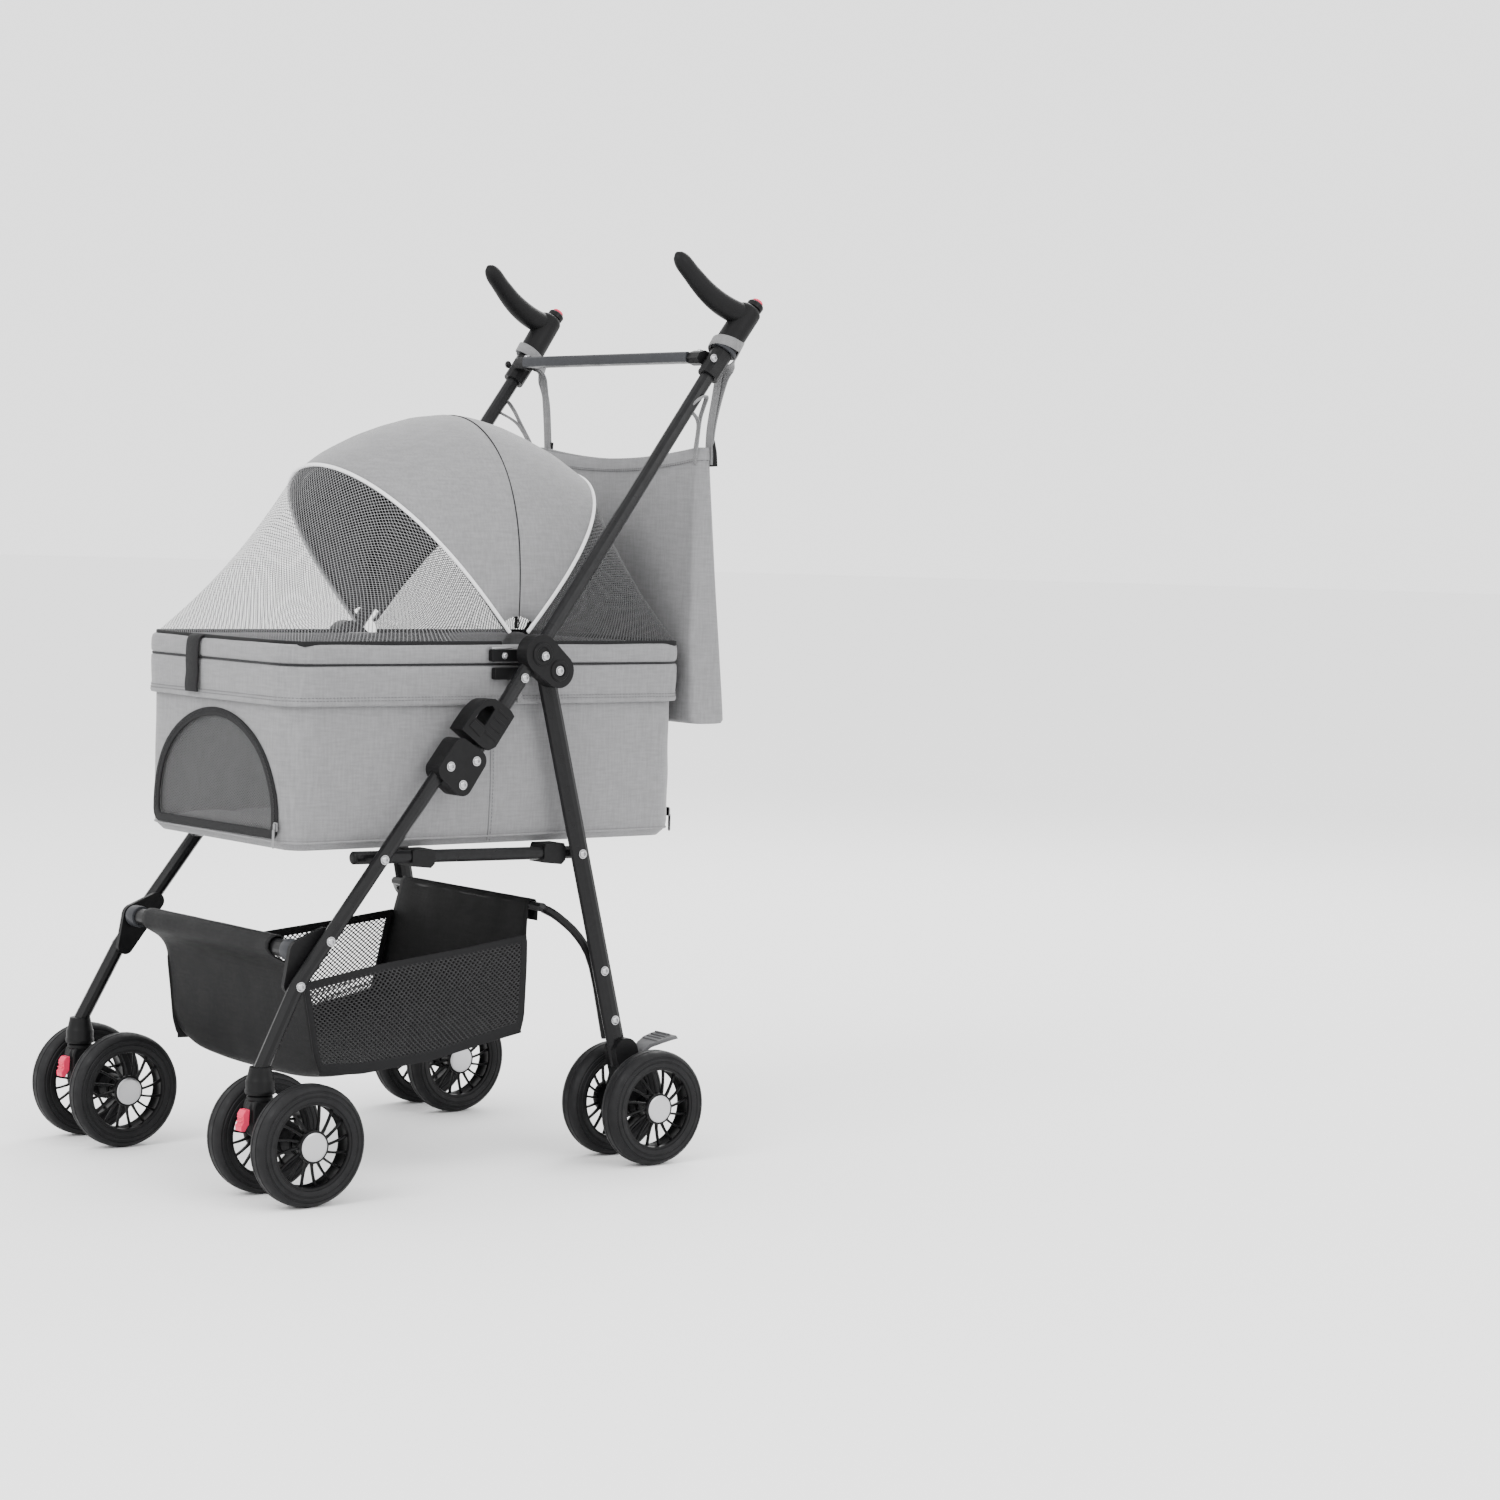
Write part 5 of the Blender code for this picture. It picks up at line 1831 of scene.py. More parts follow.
    def clips(self, side: Side) -> None:
        """The two moulded blocks and the bright strip that hook the carrier to a hub.

        Args:
            side: which side it is on.
        """
        maker = Maker()
        for z, height, y, length in ((0.5525, 0.0130, -0.0080, 0.0460), (0.5330, 0.0130, -0.0040, 0.0400)):
            ring = [side.at(0.1630, y + a, z + b) for a, b in
                    ((0, 0.001), (0.001, 0), (length, 0), (length, height), (0.001, height),
                     (0, height - 0.001))]
            maker.prism(ring, (side.value * 0.0075, 0, 0))
        body = bevel(maker.build(f"clip_blocks_{side.tag}"), 0.0012, 2)
        fit(body, BLACK_PLASTIC, "carrier", (f"carrier_clip_{side.tag}",))
        strip = Maker().prism([side.at(0.1640, -0.0085, 0.5660), side.at(0.1640, 0.0180, 0.5660),
                               side.at(0.1640, 0.0180, 0.5682), side.at(0.1640, -0.0085, 0.5682)],
                              (side.value * 0.0070, 0, 0))
        fit(bevel(strip.build(f"clip_strip_{side.tag}"), 0.0006, 2), CAP_METAL, "carrier")
        out = Vector((side.value, 0, 0))
        screw_heads(f"clip_screws_{side.tag}", [(side.at(0.1706, 0.0080, 0.5590), out)], "carrier", 0.0032)
        for k, (y, low) in enumerate(((0.0200, 0.5120), (0.0290, 0.5080))):
            path = smooth_path([side.at(0.1650, y, 0.5320), side.at(0.1668, y + 0.001, 0.5230),
                                side.at(0.1672, y + 0.002, low + 0.004), side.at(0.1655, y + 0.003, low),
                                side.at(0.1640, y + 0.002, low + 0.006)], 5)
            loop = Maker().sweep(path, soft_bar(0.0030, 0.0008, 0.0006, 2), (side.value, 0, 0))
            fit(loop.build(f"clip_strap_{side.tag}_{k}", 50.0), STRAP_WEB, "carrier")

    def mat(self) -> None:
        """The padded mat, puffed by a short cloth simulation and quilted across."""
        low = 0.3590
        rings = []
        for inset, z in ((0.006, low), (0.002, low + 0.003), (0.001, low + 0.007), (0.006, low + 0.0105)):
            loop = level_loop(0.1470 - inset, self.front + 0.0095 + inset, self.rear - 0.0095 - inset,
                              0.022, 0.012)
            rings.append([Vector((p.x, p.y, z)) for p in loop])
        piece = Maker().loft(rings).build("base_mat_pad", 80.0)
        step = piece.modifiers.new("remesh", "REMESH")
        step.mode = "VOXEL"
        step.voxel_size = 0.006
        settle(piece)
        start = [v.co.copy() for v in piece.data.vertices]
        puff(piece, 1.6)
        for v, before in zip(piece.data.vertices, start):
            moved = v.co - before
            if moved.length > 0.0045:
                moved = moved.normalized() * 0.0045
            share = 0.0 if before.z < low + 0.002 else 1.0
            place = before + moved * share
            channel = min(abs((place.y - y) / 0.009) for y in (-0.15, -0.05, 0.05, 0.15))
            if before.z > low + 0.006:
                place.z -= 0.0035 * math.exp(-channel * channel)
            place.z = min(max(place.z, low), 0.3745)
            place.x = min(max(place.x, -0.1480), 0.1480)
            place.y = min(max(place.y, self.front + 0.0075), self.rear - 0.0075)
            v.co = place
        smoother = piece.modifiers.new("finer", "SUBSURF")
        smoother.levels = 1
        smoother.render_levels = 1
        settle(piece)
        piece.data.shade_smooth()
        fit(piece, MAT_CLOTH, "carrier", ("base_mat",))

    def build(self) -> None:
        """Make the whole carrier."""
        outer = self.shell("cabin_cloth", 0.0, self.bottom, 0.0022)
        fit(outer, SHELL_CLOTH, "carrier", ("carrier_body",))
        inner = self.shell("cabin_lining", 0.0030, self.bottom + 0.0030, 0.0010)
        # The lining's darker grey is painted shade for the inside of the cabin.
        fit(inner, SHADED_LINING_CLOTH, "carrier")
        self.band()
        self.door(-1, self.front_door_top)
        self.door(1, self.rear_door_top)
        self.trims()
        for side in Side:
            self.clips(side)
        self.mat()


def puff(piece: bpy.types.Object, pressure: float) -> None:
    """Swell a closed mesh with a short cloth simulation and keep the result.

    Args:
        piece: the closed mesh.
        pressure: the simulation's inner pressure.
    """
    scene = bpy.context.scene
    step = piece.modifiers.new("air", "CLOTH")
    step.settings.use_pressure = True
    step.settings.uniform_pressure_force = pressure
    step.settings.effector_weights.gravity = 0.0
    step.settings.quality = 4
    step.settings.mass = 0.3
    step.point_cache.frame_start = 1
    step.point_cache.frame_end = 20
    for frame in range(1, 21):
        scene.frame_set(frame)
    settle(piece)
    scene.frame_set(1)


# ---------------------------------------------------------------- hood


@dataclass
class Hood:
    """Curved cloth hood on three hoops, its lining, piping and net panels."""

    nodes: dict[str, bpy.types.Object]
    pivot_y: float = 0.0350
    pivot_z: float = 0.5700
    root: float = 0.0180
    reach: float = 0.2500
    half_x: float = 0.1560
    front_arch: float = math.radians(131.0)
    mid_arch: float = math.radians(88.0)
    rear_arch: float = math.radians(49.0)

    def point(self, arch: float, turn: float, inwards: float = 0.0) -> Vector:
        """A point of the hood.

        Args:
            arch: the angle round the hoops' pivot, from the rear.
            turn: from one side (0) over the top to the other (pi).
            inwards: how far inside the cloth.

        Returns:
            The point.
        """
        side = math.cos(turn)
        x = (self.half_x - inwards) * side
        top = self.root + (self.reach - self.root) * max(math.sin(turn), 0.0) ** 0.74
        reach = max(top - inwards * math.sin(turn), 0.004)
        return Vector((x, self.pivot_y + reach * math.cos(arch), self.pivot_z + reach * math.sin(arch)))

    def slack(self, arch: float, turn: float) -> float:
        """How far the cloth dips between the hoops.

        Args:
            arch: the angle round the pivot.
            turn: from side to side.

        Returns:
            The dip, in metres.
        """
        low, high = (self.rear_arch, self.mid_arch) if arch < self.mid_arch else (self.mid_arch,
                                                                                  self.front_arch)
        share = (arch - low) / (high - low)
        dip = 0.0040 * math.sin(math.pi * share) * math.sin(turn)
        dip += 0.0012 * math.exp(-((arch - self.mid_arch) / 0.012) ** 2)
        dip += 0.0010 * noise.noise(Vector((turn * 3.0, arch * 9.0, 1.7))) * math.sin(turn)
        return dip

    def rows(self, low: float, high: float, count: int, inwards: float,
             steps: int = 72) -> list[list[Vector]]:
        """Rows of the hood's surface.

        Args:
            low: the first arch.
            high: the last arch.
            count: how many rows.
            inwards: how far inside the cloth.
            steps: how many parts go from side to side.

        Returns:
            The rows.
        """
        rows = []
        for r in range(count):
            arch = low + (high - low) * r / (count - 1)
            row = []
            for c in range(steps + 1):
                turn = 0.02 + (math.pi - 0.04) * c / steps
                row.append(self.point(arch, turn, inwards + self.slack(arch, turn)))
            rows.append(row)
        return rows

    def bend(self, piece: bpy.types.Object, finish: Finish,
             stands_for: Sequence[str] = ()) -> None:
        """Dress a piece, bake its placement into its mesh and hide the CAD nodes that it replaces.

        Args:
            piece: the piece.
            finish: what it is made of.
            stands_for: the CAD nodes that it replaces.
        """
        dress(piece, finish)
        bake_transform(piece)
        if stands_for:
            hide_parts(*stands_for)
        LOG.info("%s bends between carrier and canopy_front", piece.name)

    def arch_line(self, arch: float, inwards: float, steps: int = 60, start: float = 0.0,
                  end: float = math.pi) -> Path:
        """A line over the hood at one arch.

        Args:
            arch: its angle.
            inwards: how far inside the cloth.
            steps: how many parts it has.
            start: its first turn.
            end: its last turn.

        Returns:
            The path.
        """
        return [self.point(arch, start + (end - start) * k / steps, inwards) for k in range(steps + 1)]

    def edge_tube(self, name: str, arch: float, radius: float, inwards: float, finish: Finish,
                  body: str) -> None:
        """A round cord along an arch.

        Args:
            name: the piece's name.
            arch: its angle.
            radius: its radius.
            inwards: how far inside the cloth its centre lies.
            finish: what it is made of.
            body: the CAD body that it moves with.
        """
        line = even_path(self.arch_line(arch, inwards), 0.006)
        tube = Maker().sweep(line, oval(radius, radius, 12), (0, math.cos(arch), math.sin(arch)))
        fit(tube.build(name, 60.0), finish, body)

    def tape(self, name: str, low: float, high: float, inwards: float, finish: Finish, slot: Slot, body: str,
             start: float = 0.06, end: float = math.pi - 0.06) -> None:
        """A flat band inside the hood between two arches.

        Args:
            name: the piece's name.
            low: the first arch.
            high: the last arch.
            inwards: how far inside the cloth it lies.
            finish: what it is made of.
            slot: not used.
            body: the CAD body that it moves with.
            start: its first turn.
            end: its last turn.
        """
        rows = []
        for k in range(5):
            arch = low + (high - low) * k / 4
            belly = 0.0010 * math.sin(math.pi * k / 4)
            rows.append([self.point(arch, start + (end - start) * c / 60,
                                    inwards + belly) for c in range(61)])
        band = thicken(Maker().grid(rows).build(name, 70.0), 0.0010, 0.0)
        fit(band, finish, body)

    def net_rows(self, arch: float, end_y: float, sag: float) -> list[list[Vector]]:
        """Rows of a net panel from an arch down to the band.

        Args:
            arch: the arch that it hangs from.
            end_y: where it meets the band, in front or behind.
            sag: how far its middle hangs in.

        Returns:
            The rows.
        """
        rows = []
        steps = 64
        for k in range(21):
            level = k / 20
            row = []
            for c in range(steps + 1):
                turn = math.pi * c / steps
                high = self.point(arch, turn, 0.0006)
                side = math.cos(turn)
                across = (1 - min(abs(side), 1.0) ** 5) ** 0.2
                y = self.pivot_y + (end_y - self.pivot_y) * max(across, 0.08)
                x = math.copysign(min(abs(side) * 1.35, 1.0) * 0.1565, side)
                low = Vector((x, y, 0.5712))
                here = high.lerp(low, level)
                pull = sag * math.sin(math.pi * level) * math.sin(turn) ** 0.7
                here.y -= math.copysign(pull, end_y - self.pivot_y)
                here.z -= pull * 0.4
                row.append(here)
            rows.append(row)
        return rows

    def panel(self, word: str, arch: float, end_y: float, finish: Finish, body: str) -> None:
        """A net panel with its bound foot.

        Args:
            word: front or rear.
            arch: the arch that it hangs from.
            end_y: where it meets the band.
            finish: the net's finish.
            body: the CAD body that it moves with.
        """
        rows = self.net_rows(arch, end_y, 0.004)
        net = Maker().grid(rows).build(f"{word}_net", 80.0)
        fit(net, finish, body, (f"{word}_mesh",))
        foot = even_path(rows[-1], 0.006)
        hem = Maker().sweep(foot, soft_bar(0.0016, 0.0028, 0.0012, 2), (0, 0, 1))
        fit(hem.build(f"{word}_net_hem", 60.0), TRIM_CLOTH, body)

    def build(self) -> None:
        """Make the whole hood."""
        shell = Maker().grid(self.rows(self.rear_arch, self.front_arch, 49, 0.0)).build("hood_cloth", 80.0)
        self.bend(thicken(shell, 0.0012), HOOD_CLOTH, ("canopy_shell",))
        edge = math.radians(1.2)
        lining = Maker().grid(self.rows(self.rear_arch + edge, self.front_arch - edge, 33, 0.0026, 56))
        lining = lining.build("hood_lining", 80.0)
        # The hood lining's darker grey is painted shade for the inside of the hood.
        self.bend(thicken(lining, 0.0006), SHADED_LINING_CLOTH)
        self.edge_tube("front_piping", self.front_arch, 0.0021, -0.0006, PIPING_CLOTH,
                       "canopy_front")
        self.edge_tube("rear_piping", self.rear_arch, 0.0021, -0.0006, PIPING_CLOTH, "carrier")
        self.edge_tube("mid_seam", self.mid_arch, 0.0007, 0.0008, DARK_THREAD, "canopy_mid")
        wide = math.radians(2.6)
        self.tape("mid_sleeve", self.mid_arch - wide, self.mid_arch + wide, 0.0110, SLEEVE_CLOTH, Slot.LINING,
                  "canopy_mid", 0.55, math.pi - 0.55)
        self.tape("front_facing", self.front_arch - math.radians(3.6), self.front_arch - math.radians(0.6),
                  0.0058,
                  TRIM_CLOTH, Slot.TRIM, "canopy_front")
        self.tape("rear_facing", self.rear_arch + math.radians(0.6), self.rear_arch + math.radians(3.6),
                  0.0058,
                  TRIM_CLOTH, Slot.TRIM, "carrier")
        self.panel("front", self.front_arch + math.radians(0.4), -0.2475, HOOD_NET, "canopy_front")
        self.panel("rear", self.rear_arch - math.radians(0.4), 0.2600, REAR_NET, "carrier")
        for name in ("front_hoop", "mid_hoop", "rear_hoop"):
            keep_node(self.nodes, name, TUBE_PAINT)


# ---------------------------------------------------------------- basket and bag


def between(table: Sequence[tuple[float, float]], value: float) -> float:
    """Read a table of (value, result) pairs, with straight lines between them.

    Args:
        table: the pairs, in rising order.
        value: where to read it.

    Returns:
        The result.
    """
    if value <= table[0][0]:
        return table[0][1]
    for (v0, r0), (v1, r1) in zip(table, table[1:]):
        if value <= v1:
            return r0 + (r1 - r0) * (value - v0) / (v1 - v0)
    return table[-1][1]


@dataclass
class Basket:
    """Black cloth basket: one sheet from tube to tube, with net sides."""

    front_line: tuple[tuple[float, float], ...] = ((0.1130, -0.1960), (0.1250, -0.2040), (0.1400, -0.2090),
                                                   (0.1750, -0.2140), (0.2150, -0.2205), (0.2330, -0.2320),
                                                   (0.2450, -0.2520))
    rear_line: tuple[tuple[float, float], ...] = ((0.1430, 0.0500), (0.1620, 0.0570), (0.2050, 0.0630),
                                                  (0.2500, 0.0690), (0.2760, 0.0735))
    floor_line: tuple[tuple[float, float], ...] = ((0.0, 0.1210), (0.20, 0.1190), (0.55, 0.1260),
                                                   (1.0, 0.1480))
    cells_along: int = 47
    cells_down: int = 19
    cord: float = 0.0022
    top_line: tuple[tuple[float, float], ...] = ((0.0, 0.2110), (0.36, 0.2250), (0.75, 0.2360), (1.0, 0.2450))

    def profile(self) -> Path:
        """The sheet's line from the front tube, under the load and up to the rear tube, at x 0."""
        wrap = [(-0.2370, 0.2560), (-0.2410, 0.2642), (-0.2480, 0.2662), (-0.2556, 0.2626), (-0.2588, 0.2544)]
        front = [(y, z) for z, y in reversed(self.front_line[1:])]
        floor = [(-0.2010, 0.1170), (-0.1880, 0.1100), (-0.1500, 0.1085), (-0.0700, 0.1140), (0.0100, 0.1290),
                 (0.0400, 0.1360), (0.0520, 0.1450)]
        rear = [(y, z) for z, y in self.rear_line[1:]]
        over = [(0.0765, 0.2872), (0.0835, 0.2874), (0.0872, 0.2800), (0.0850, 0.2640)]
        return even_path(smooth_path([(0, y, z) for y, z in wrap + front + floor + rear + over], 6), 0.006)

    def half_width(self, share: float, z: float) -> float:
        """Half the sheet's width.

        Args:
            share: the share of the way from front to rear.
            z: the height.

        Returns:
            Half the width, in metres.
        """
        front = between(((0.12, 0.1510), (0.20, 0.1465), (0.235, 0.1420), (0.25, 0.1360)), z)
        rear = between(((0.15, 0.1500), (0.22, 0.1400), (0.28, 0.1290)), z)
        return front + (rear - front) * share

    def sheet(self) -> None:
        """The cloth from tube to tube, sagging and pulled in at its corners."""
        line = self.profile()
        rows = []
        for p in line:
            row = []
            share = min(max((p.y + 0.20) / 0.25, 0.0), 1.0)
            depth = min(max((0.21 - p.z) / 0.09, 0.0), 1.0)
            for c in range(41):
                s = 2 * c / 40 - 1
                sag = 0.0050 * depth * (1 - s * s)
                crease = 0.0010 * noise.noise(Vector((s * 4.0, p.y * 22, p.z * 22)))
                lift = 0.0125 * depth * abs(s) ** 6
                x = self.half_width(share, p.z) * s
                row.append(Vector((x, p.y + crease, p.z - sag + lift)))
            rows.append(row)
        cloth = Maker().grid(rows).build("basket_cloth", 80.0)
        fit(thicken(cloth, 0.0014, 0.0), BASKET_CLOTH, "front_frame", ("basket",))

    def side_point(self, side: Side, t: float, level: float) -> Vector:
        """A point of a side net.

        Args:
            side: which side.
            t: along it, from front to rear.
            level: up it, from 0 to 1.

        Returns:
            The point.
        """
        low, high = between(self.floor_line, t), between(self.top_line, t)
        z = low + (high - low) * level
        front, rear = between(self.front_line, z), between(self.rear_line, z)
        y = front + (rear - front) * t
        puff = 0.0045 * math.sin(math.pi * level) * math.sin(math.pi * t)
        return side.at(self.half_width(t, z) + 0.0004 + puff, y, z)

    def net(self, side: Side) -> None:
        """A side's knotted net, made of real cords.

        Args:
            side: which side.
        """
        across, down = 2 * self.cells_along, 2 * self.cells_down
        maker = Maker()
        index: dict[tuple[int, int], int] = {}

        def knot(i: int, j: int) -> int:
            """The number of a crossing, made once."""
            if (i, j) not in index:
                index[(i, j)] = len(maker.points)
                maker.points.append(self.side_point(side, i / across, j / down))
            return index[(i, j)]

        for i in range(1, across):
            for j in range(1, down):
                if (i + j) % 2 == 0:
                    maker.faces.append((knot(i - 1, j), knot(i, j - 1), knot(i + 1, j), knot(i, j + 1)))
        net = maker.build(f"basket_net_{side.tag}", 80.0)
        wire = net.modifiers.new("cords", "WIREFRAME")
        wire.thickness = self.cord
        wire.use_even_offset = False
        wire.use_boundary = True
        fit(settle(net), BASKET_CORD, "front_frame")

    def bindings(self, side: Side) -> None:
        """The bound top, foot and end edges of a side.

        Args:
            side: which side.
        """
        edges = {
            "top": ([self.side_point(side, k / 40, 1.0) for k in range(41)], 0.0046),
            "foot": ([self.side_point(side, k / 40, 0.020) for k in range(41)], 0.0062),
            "rear": ([self.side_point(side, 0.990, k / 16) for k in range(17)], 0.0044),
            "front": ([self.side_point(side, 0.008, k / 20) for k in range(21)], 0.0034),
        }
        for word, (line, width) in edges.items():
            rings = []
            line = even_path(line, 0.006)
            for here, (run, _, _) in zip(line, frames(line, Vector((side.value, 0, 0)))):
                out = Vector((side.value, 0, 0))
                across = run.cross(out).normalized()
                rings.append([here + across * a + out * b for a, b in soft_bar(width, 0.0013, 0.0010, 2)])
            band = Maker().loft(rings).build(f"basket_{word}_binding_{side.tag}", 60.0)
            fit(band, TRIM_CLOTH, "front_frame")

    def build(self) -> None:
        """Make the whole basket."""
        self.sheet()
        for side in Side:
            self.bindings(side)
            self.net(side)
        crumple(("basket_",))


@dataclass
class Bag:
    """A hanging bag that sags between its straps."""

    half_x: float = 0.1620

    def row(self, z: float, front: float, rear: float, inset: float = 0.0) -> list[Vector]:
        """A level row round the bag.

        Args:
            z: its height.
            front: its front face.
            rear: its rear face.
            inset: how far inside the outer face.

        Returns:
            The row.
        """
        top = max(0.0, (z - 0.55) / 0.24)
        corner = min(0.008, (rear - front) / 2 - 0.0005)
        loop = level_loop(self.half_x - inset, front + inset, rear - inset, corner, parts=(36, 4))
        out = []
        for p in loop:
            s = p.x / self.half_x
            droop = 0.0130 * top ** 3 * (1 - s * s)
            belly = 0.0040 * math.sin(math.pi * min((z - 0.48) / 0.32, 1.0)) * (1 - s * s)
            crease = 0.0016 * noise.noise(Vector((p.x * 14, z * 9, 2.0 + p.out_y)))
            pull = 0.0030 * math.sin(math.pi * min(max((z - 0.48) / 0.31, 0.0), 1.0))
            y = p.y + (belly * max(p.out_y, 0.0) + crease * abs(p.out_y))
            out.append(Vector((p.x - math.copysign(pull, p.x) * abs(s) ** 4, y, z - droop)))
        return out

    def build(self) -> None:
        """Make the bag, its hem, seams, side tab and straps."""
        levels = [(0.4800, 0.2790, 0.3100), (0.4805, 0.2730, 0.3160), (0.4840, 0.2704, 0.3188)]
        for k in range(1, 23):
            share = k / 22
            levels.append((0.4840 + 0.3060 * share, 0.2704 - 0.0022 * share, 0.3188 - 0.0300 * share ** 1.2))
        rows = [self.row(*level) for level in levels]
        centre = sum(rows[0], Vector()) / len(rows[0])
        foot = [[centre.lerp(p, share) for p in rows[0]] for share in (0.1, 0.5, 0.8)]
        maker = Maker().grid(foot + rows, True)
        maker.faces.append(tuple(range(len(rows[0]))))
        bag = thicken(maker.build("bag_cloth", 70.0), 0.0014)
        fit(bag, SHELL_CLOTH, "handle_frame", ("bag",))
        hem = rows[-1]
        band = Maker()
        rings = []
        for k, p in enumerate(hem):
            below = rows[-2][k]
            out = Vector((p.x / self.half_x if abs(p.x) > 0.155 else 0.0, p.y - 0.2785, 0)).normalized()
            down = (below - p).normalized()
            rings.append([p + out * 0.0012, p + out * 0.0004 - down * 0.0012,
                          p - out * 0.0014 - down * 0.0010,
                          p - out * 0.0022, p - out * 0.0022 + down * 0.0130,
                          p + out * 0.0012 + down * 0.0130])
        band.loft(rings, True)
        fit(band.build("bag_hem", 60.0), SHELL_CLOTH, "handle_frame")
        for k, drop in enumerate((0.0115, 0.0135)):
            line = [p + (rows[-2][i] - p).normalized() * drop + Vector((0,
                math.copysign(0.0014, p.y - 0.2785), 0))
                    for i, p in enumerate(hem)]
            stitches(f"bag_stitch_{k}", line, THREAD, "handle_frame",
                     lambda q: Vector((0, 1 if q.y > 0.2785 else -1, 0)), closed=True)
        for side in Side:
            self.straps(side)
        crumple(("bag_cloth", "bag_hem", "bag_stitch"))

    def straps(self, side: Side) -> None:
        """The webbing that loops over the crossbar, and the stitched tab that holds it.

        Args:
            side: which side.
        """
        middle = side.at(0.1900, 0.2825, 0.9020)
        along = Vector((0, 0.531, 0.847))
        back = Vector((0, 0.847, -0.531))
        turns = []
        for degrees in range(140, 401, 20):
            turn = math.radians(degrees)
            turns.append(middle + Vector((side.value, 0, 0)) * (0.0170 * math.cos(turn))
                         + back * (0.0170 * math.sin(turn)) + along * (0.006 * (degrees - 270) / 130))
        over_bar = ([side.at(0.1572, 0.2885, 0.7720), side.at(0.1590, 0.2880, 0.8100),
                     side.at(0.1660, 0.2895, 0.8500), side.at(0.1720, 0.2895, 0.8780)] + turns
                    + [side.at(0.1830, 0.2925, 0.8760), side.at(0.1690, 0.2925, 0.8480),
                       side.at(0.1600, 0.2900, 0.8100), side.at(0.1572, 0.2900, 0.7720)])
        low_turns = ((0.1560, 0.2700, 0.7720), (0.1605, 0.2682, 0.7900), (0.1760, 0.2600, 0.8200),
                      (0.1850, 0.2575, 0.8340), (0.1950, 0.2540, 0.8450), (0.2005, 0.2470, 0.8470),
                      (0.1990, 0.2370, 0.8410), (0.1890, 0.2360, 0.8330), (0.1770, 0.2575, 0.8180),
                      (0.1608, 0.2668, 0.7895), (0.1562, 0.2686, 0.7720))
        round_tube = [side.at(*place) for place in low_turns]
        for word, places, half in (("bar", over_bar, 0.0060), ("tube", round_tube, 0.0030)):
            line = even_path(smooth_path(places, 6), 0.004)
            rings = []
            for here, (run, _, _) in zip(line, frames(line, Vector((1, 0, 0)))):
                level = min(max((here.z - 0.870) / 0.020, 0.0), 1.0) if word == "bar" else 0.0
                flat = Vector((side.value, 0, 0)).lerp(along, level)
                across = (flat - run * run.dot(flat)).normalized()
                out = run.cross(across)
                rings.append([here + across * a + out * b for a, b in soft_bar(half, 0.0009, 0.0007, 2)])
            strap = Maker().loft(rings).build(f"bag_strap_{word}_{side.tag}", 60.0)
            fit(strap, STRAP_WEB, "handle_frame")
        tab = Maker().sweep([side.at(0.1570, 0.2905, 0.7980), side.at(0.1600, 0.2915, 0.7850),
                             side.at(0.1605, 0.2925, 0.7700)], soft_bar(0.0070, 0.0020, 0.0015, 2), (0, 1, 0))
        fit(tab.build(f"bag_tab_{side.tag}", 60.0), TRIM_CLOTH, "handle_frame")


# ---------------------------------------------------------------- studio


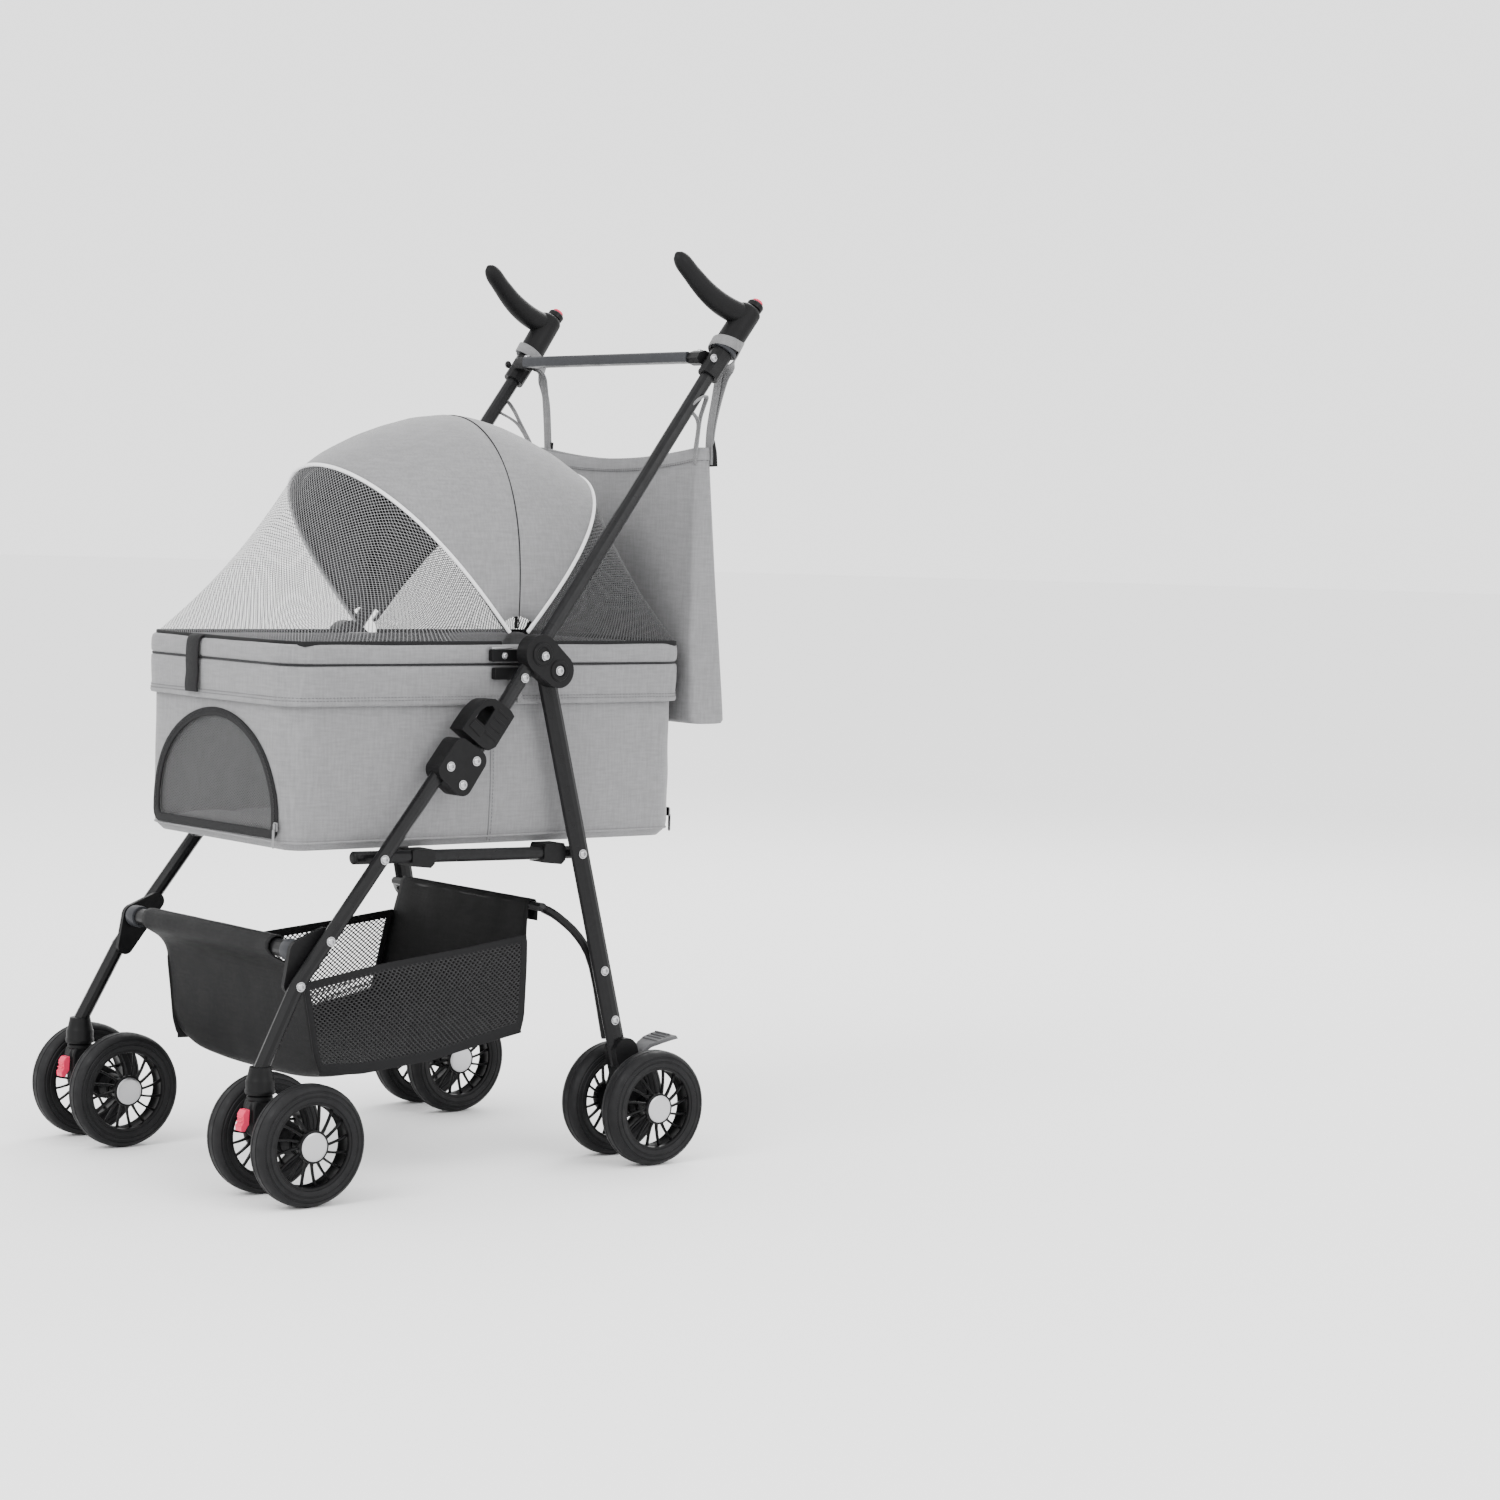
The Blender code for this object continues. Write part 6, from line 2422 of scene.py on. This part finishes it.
@dataclass
class Studio:
    """The floor, the soft lights and the camera."""

    eye: tuple[float, float, float] = (3.2458, -2.1010, 0.7157)
    azimuth: float = 51.4617
    elevation: float = 3.86771
    roll: float = 1.51773
    lens: float = 83.0

    def camera(self) -> None:
        """The camera, level with the carrier and in front of the right side."""
        az, el, roll = (math.radians(a) for a in (self.azimuth, self.elevation, self.roll))
        back = Vector((math.sin(az) * math.cos(el), -math.cos(az) * math.cos(el), math.sin(el)))
        right = Vector((math.cos(az), math.sin(az), 0))
        up = back.cross(right)
        across = right * math.cos(roll) + up * math.sin(roll)
        high = up * math.cos(roll) - right * math.sin(roll)
        data = bpy.data.cameras.new("camera")
        data.lens = self.lens
        data.sensor_width = 36.0
        data.clip_end = 100.0
        made = bpy.data.objects.new("camera", data)
        made.matrix_world = Matrix.Translation(Vector(self.eye)) @ Matrix((across, high,
                                                                           back)).transposed().to_4x4()
        bpy.context.scene.collection.objects.link(made)
        bpy.context.scene.camera = made

    def light(self, name: str, place: Sequence[float], size: float, power: float) -> None:
        """A soft square light that faces the carrier.

        Args:
            name: its name.
            place: where it is.
            size: its width.
            power: in watts.
        """
        data = bpy.data.lights.new(name, "AREA")
        data.shape = "SQUARE"
        data.size = size
        data.energy = power
        made = bpy.data.objects.new(name, data)
        made.location = place
        made.rotation_euler = (Vector((0, 0, 0.5)) - Vector(place)).to_track_quat("-Z", "Y").to_euler()
        bpy.context.scene.collection.objects.link(made)

    def build(self) -> None:
        """Set up the floor, the sky, the lights and the camera."""
        floor = Maker()
        rings = []
        for radius in (0.6, 2.0, 6.0, 40.0):
            rings.append([Vector((radius * math.cos(2 * math.pi * k / 64),
                                  radius * math.sin(2 * math.pi * k / 64), 0))
                          for k in range(64)])
        floor.loft(rings, caps=False)
        floor.faces.append(tuple(range(64)))
        plane = floor.build("floor")
        plane.data.materials.append(FLOOR.material())
        world = bpy.data.worlds.new("studio")
        world.use_nodes = True
        sky = world.node_tree.nodes["Background"]
        sky.inputs["Color"].default_value = (1.0, 1.0, 1.0, 1.0)
        sky.inputs["Strength"].default_value = 2.2
        bpy.context.scene.world = world
        self.light("key", (0.9, -3.4, 3.2), 2.2, 130.0)
        self.light("side", (3.6, 0.6, 2.4), 2.0, 55.0)
        self.light("rim", (-1.8, 2.8, 2.8), 1.8, 70.0)
        self.camera()


def main() -> None:
    """Build every sub-assembly round the frame."""
    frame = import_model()
    nodes = frame["nodes"]
    Studio().build()
    assemblies = (Wheels(), Casters(), FrontFrame(nodes), HandleFrame(nodes), Latches(), Grips(),
                  LinksAndRear(nodes), Carrier(nodes), Hood(nodes), Basket(), Bag())
    for assembly in assemblies:
        LOG.info("building %s", type(assembly).__name__)
        assembly.build()


if __name__ == "__main__":
    logging.basicConfig(level=logging.INFO, format="%(message)s")
    main()
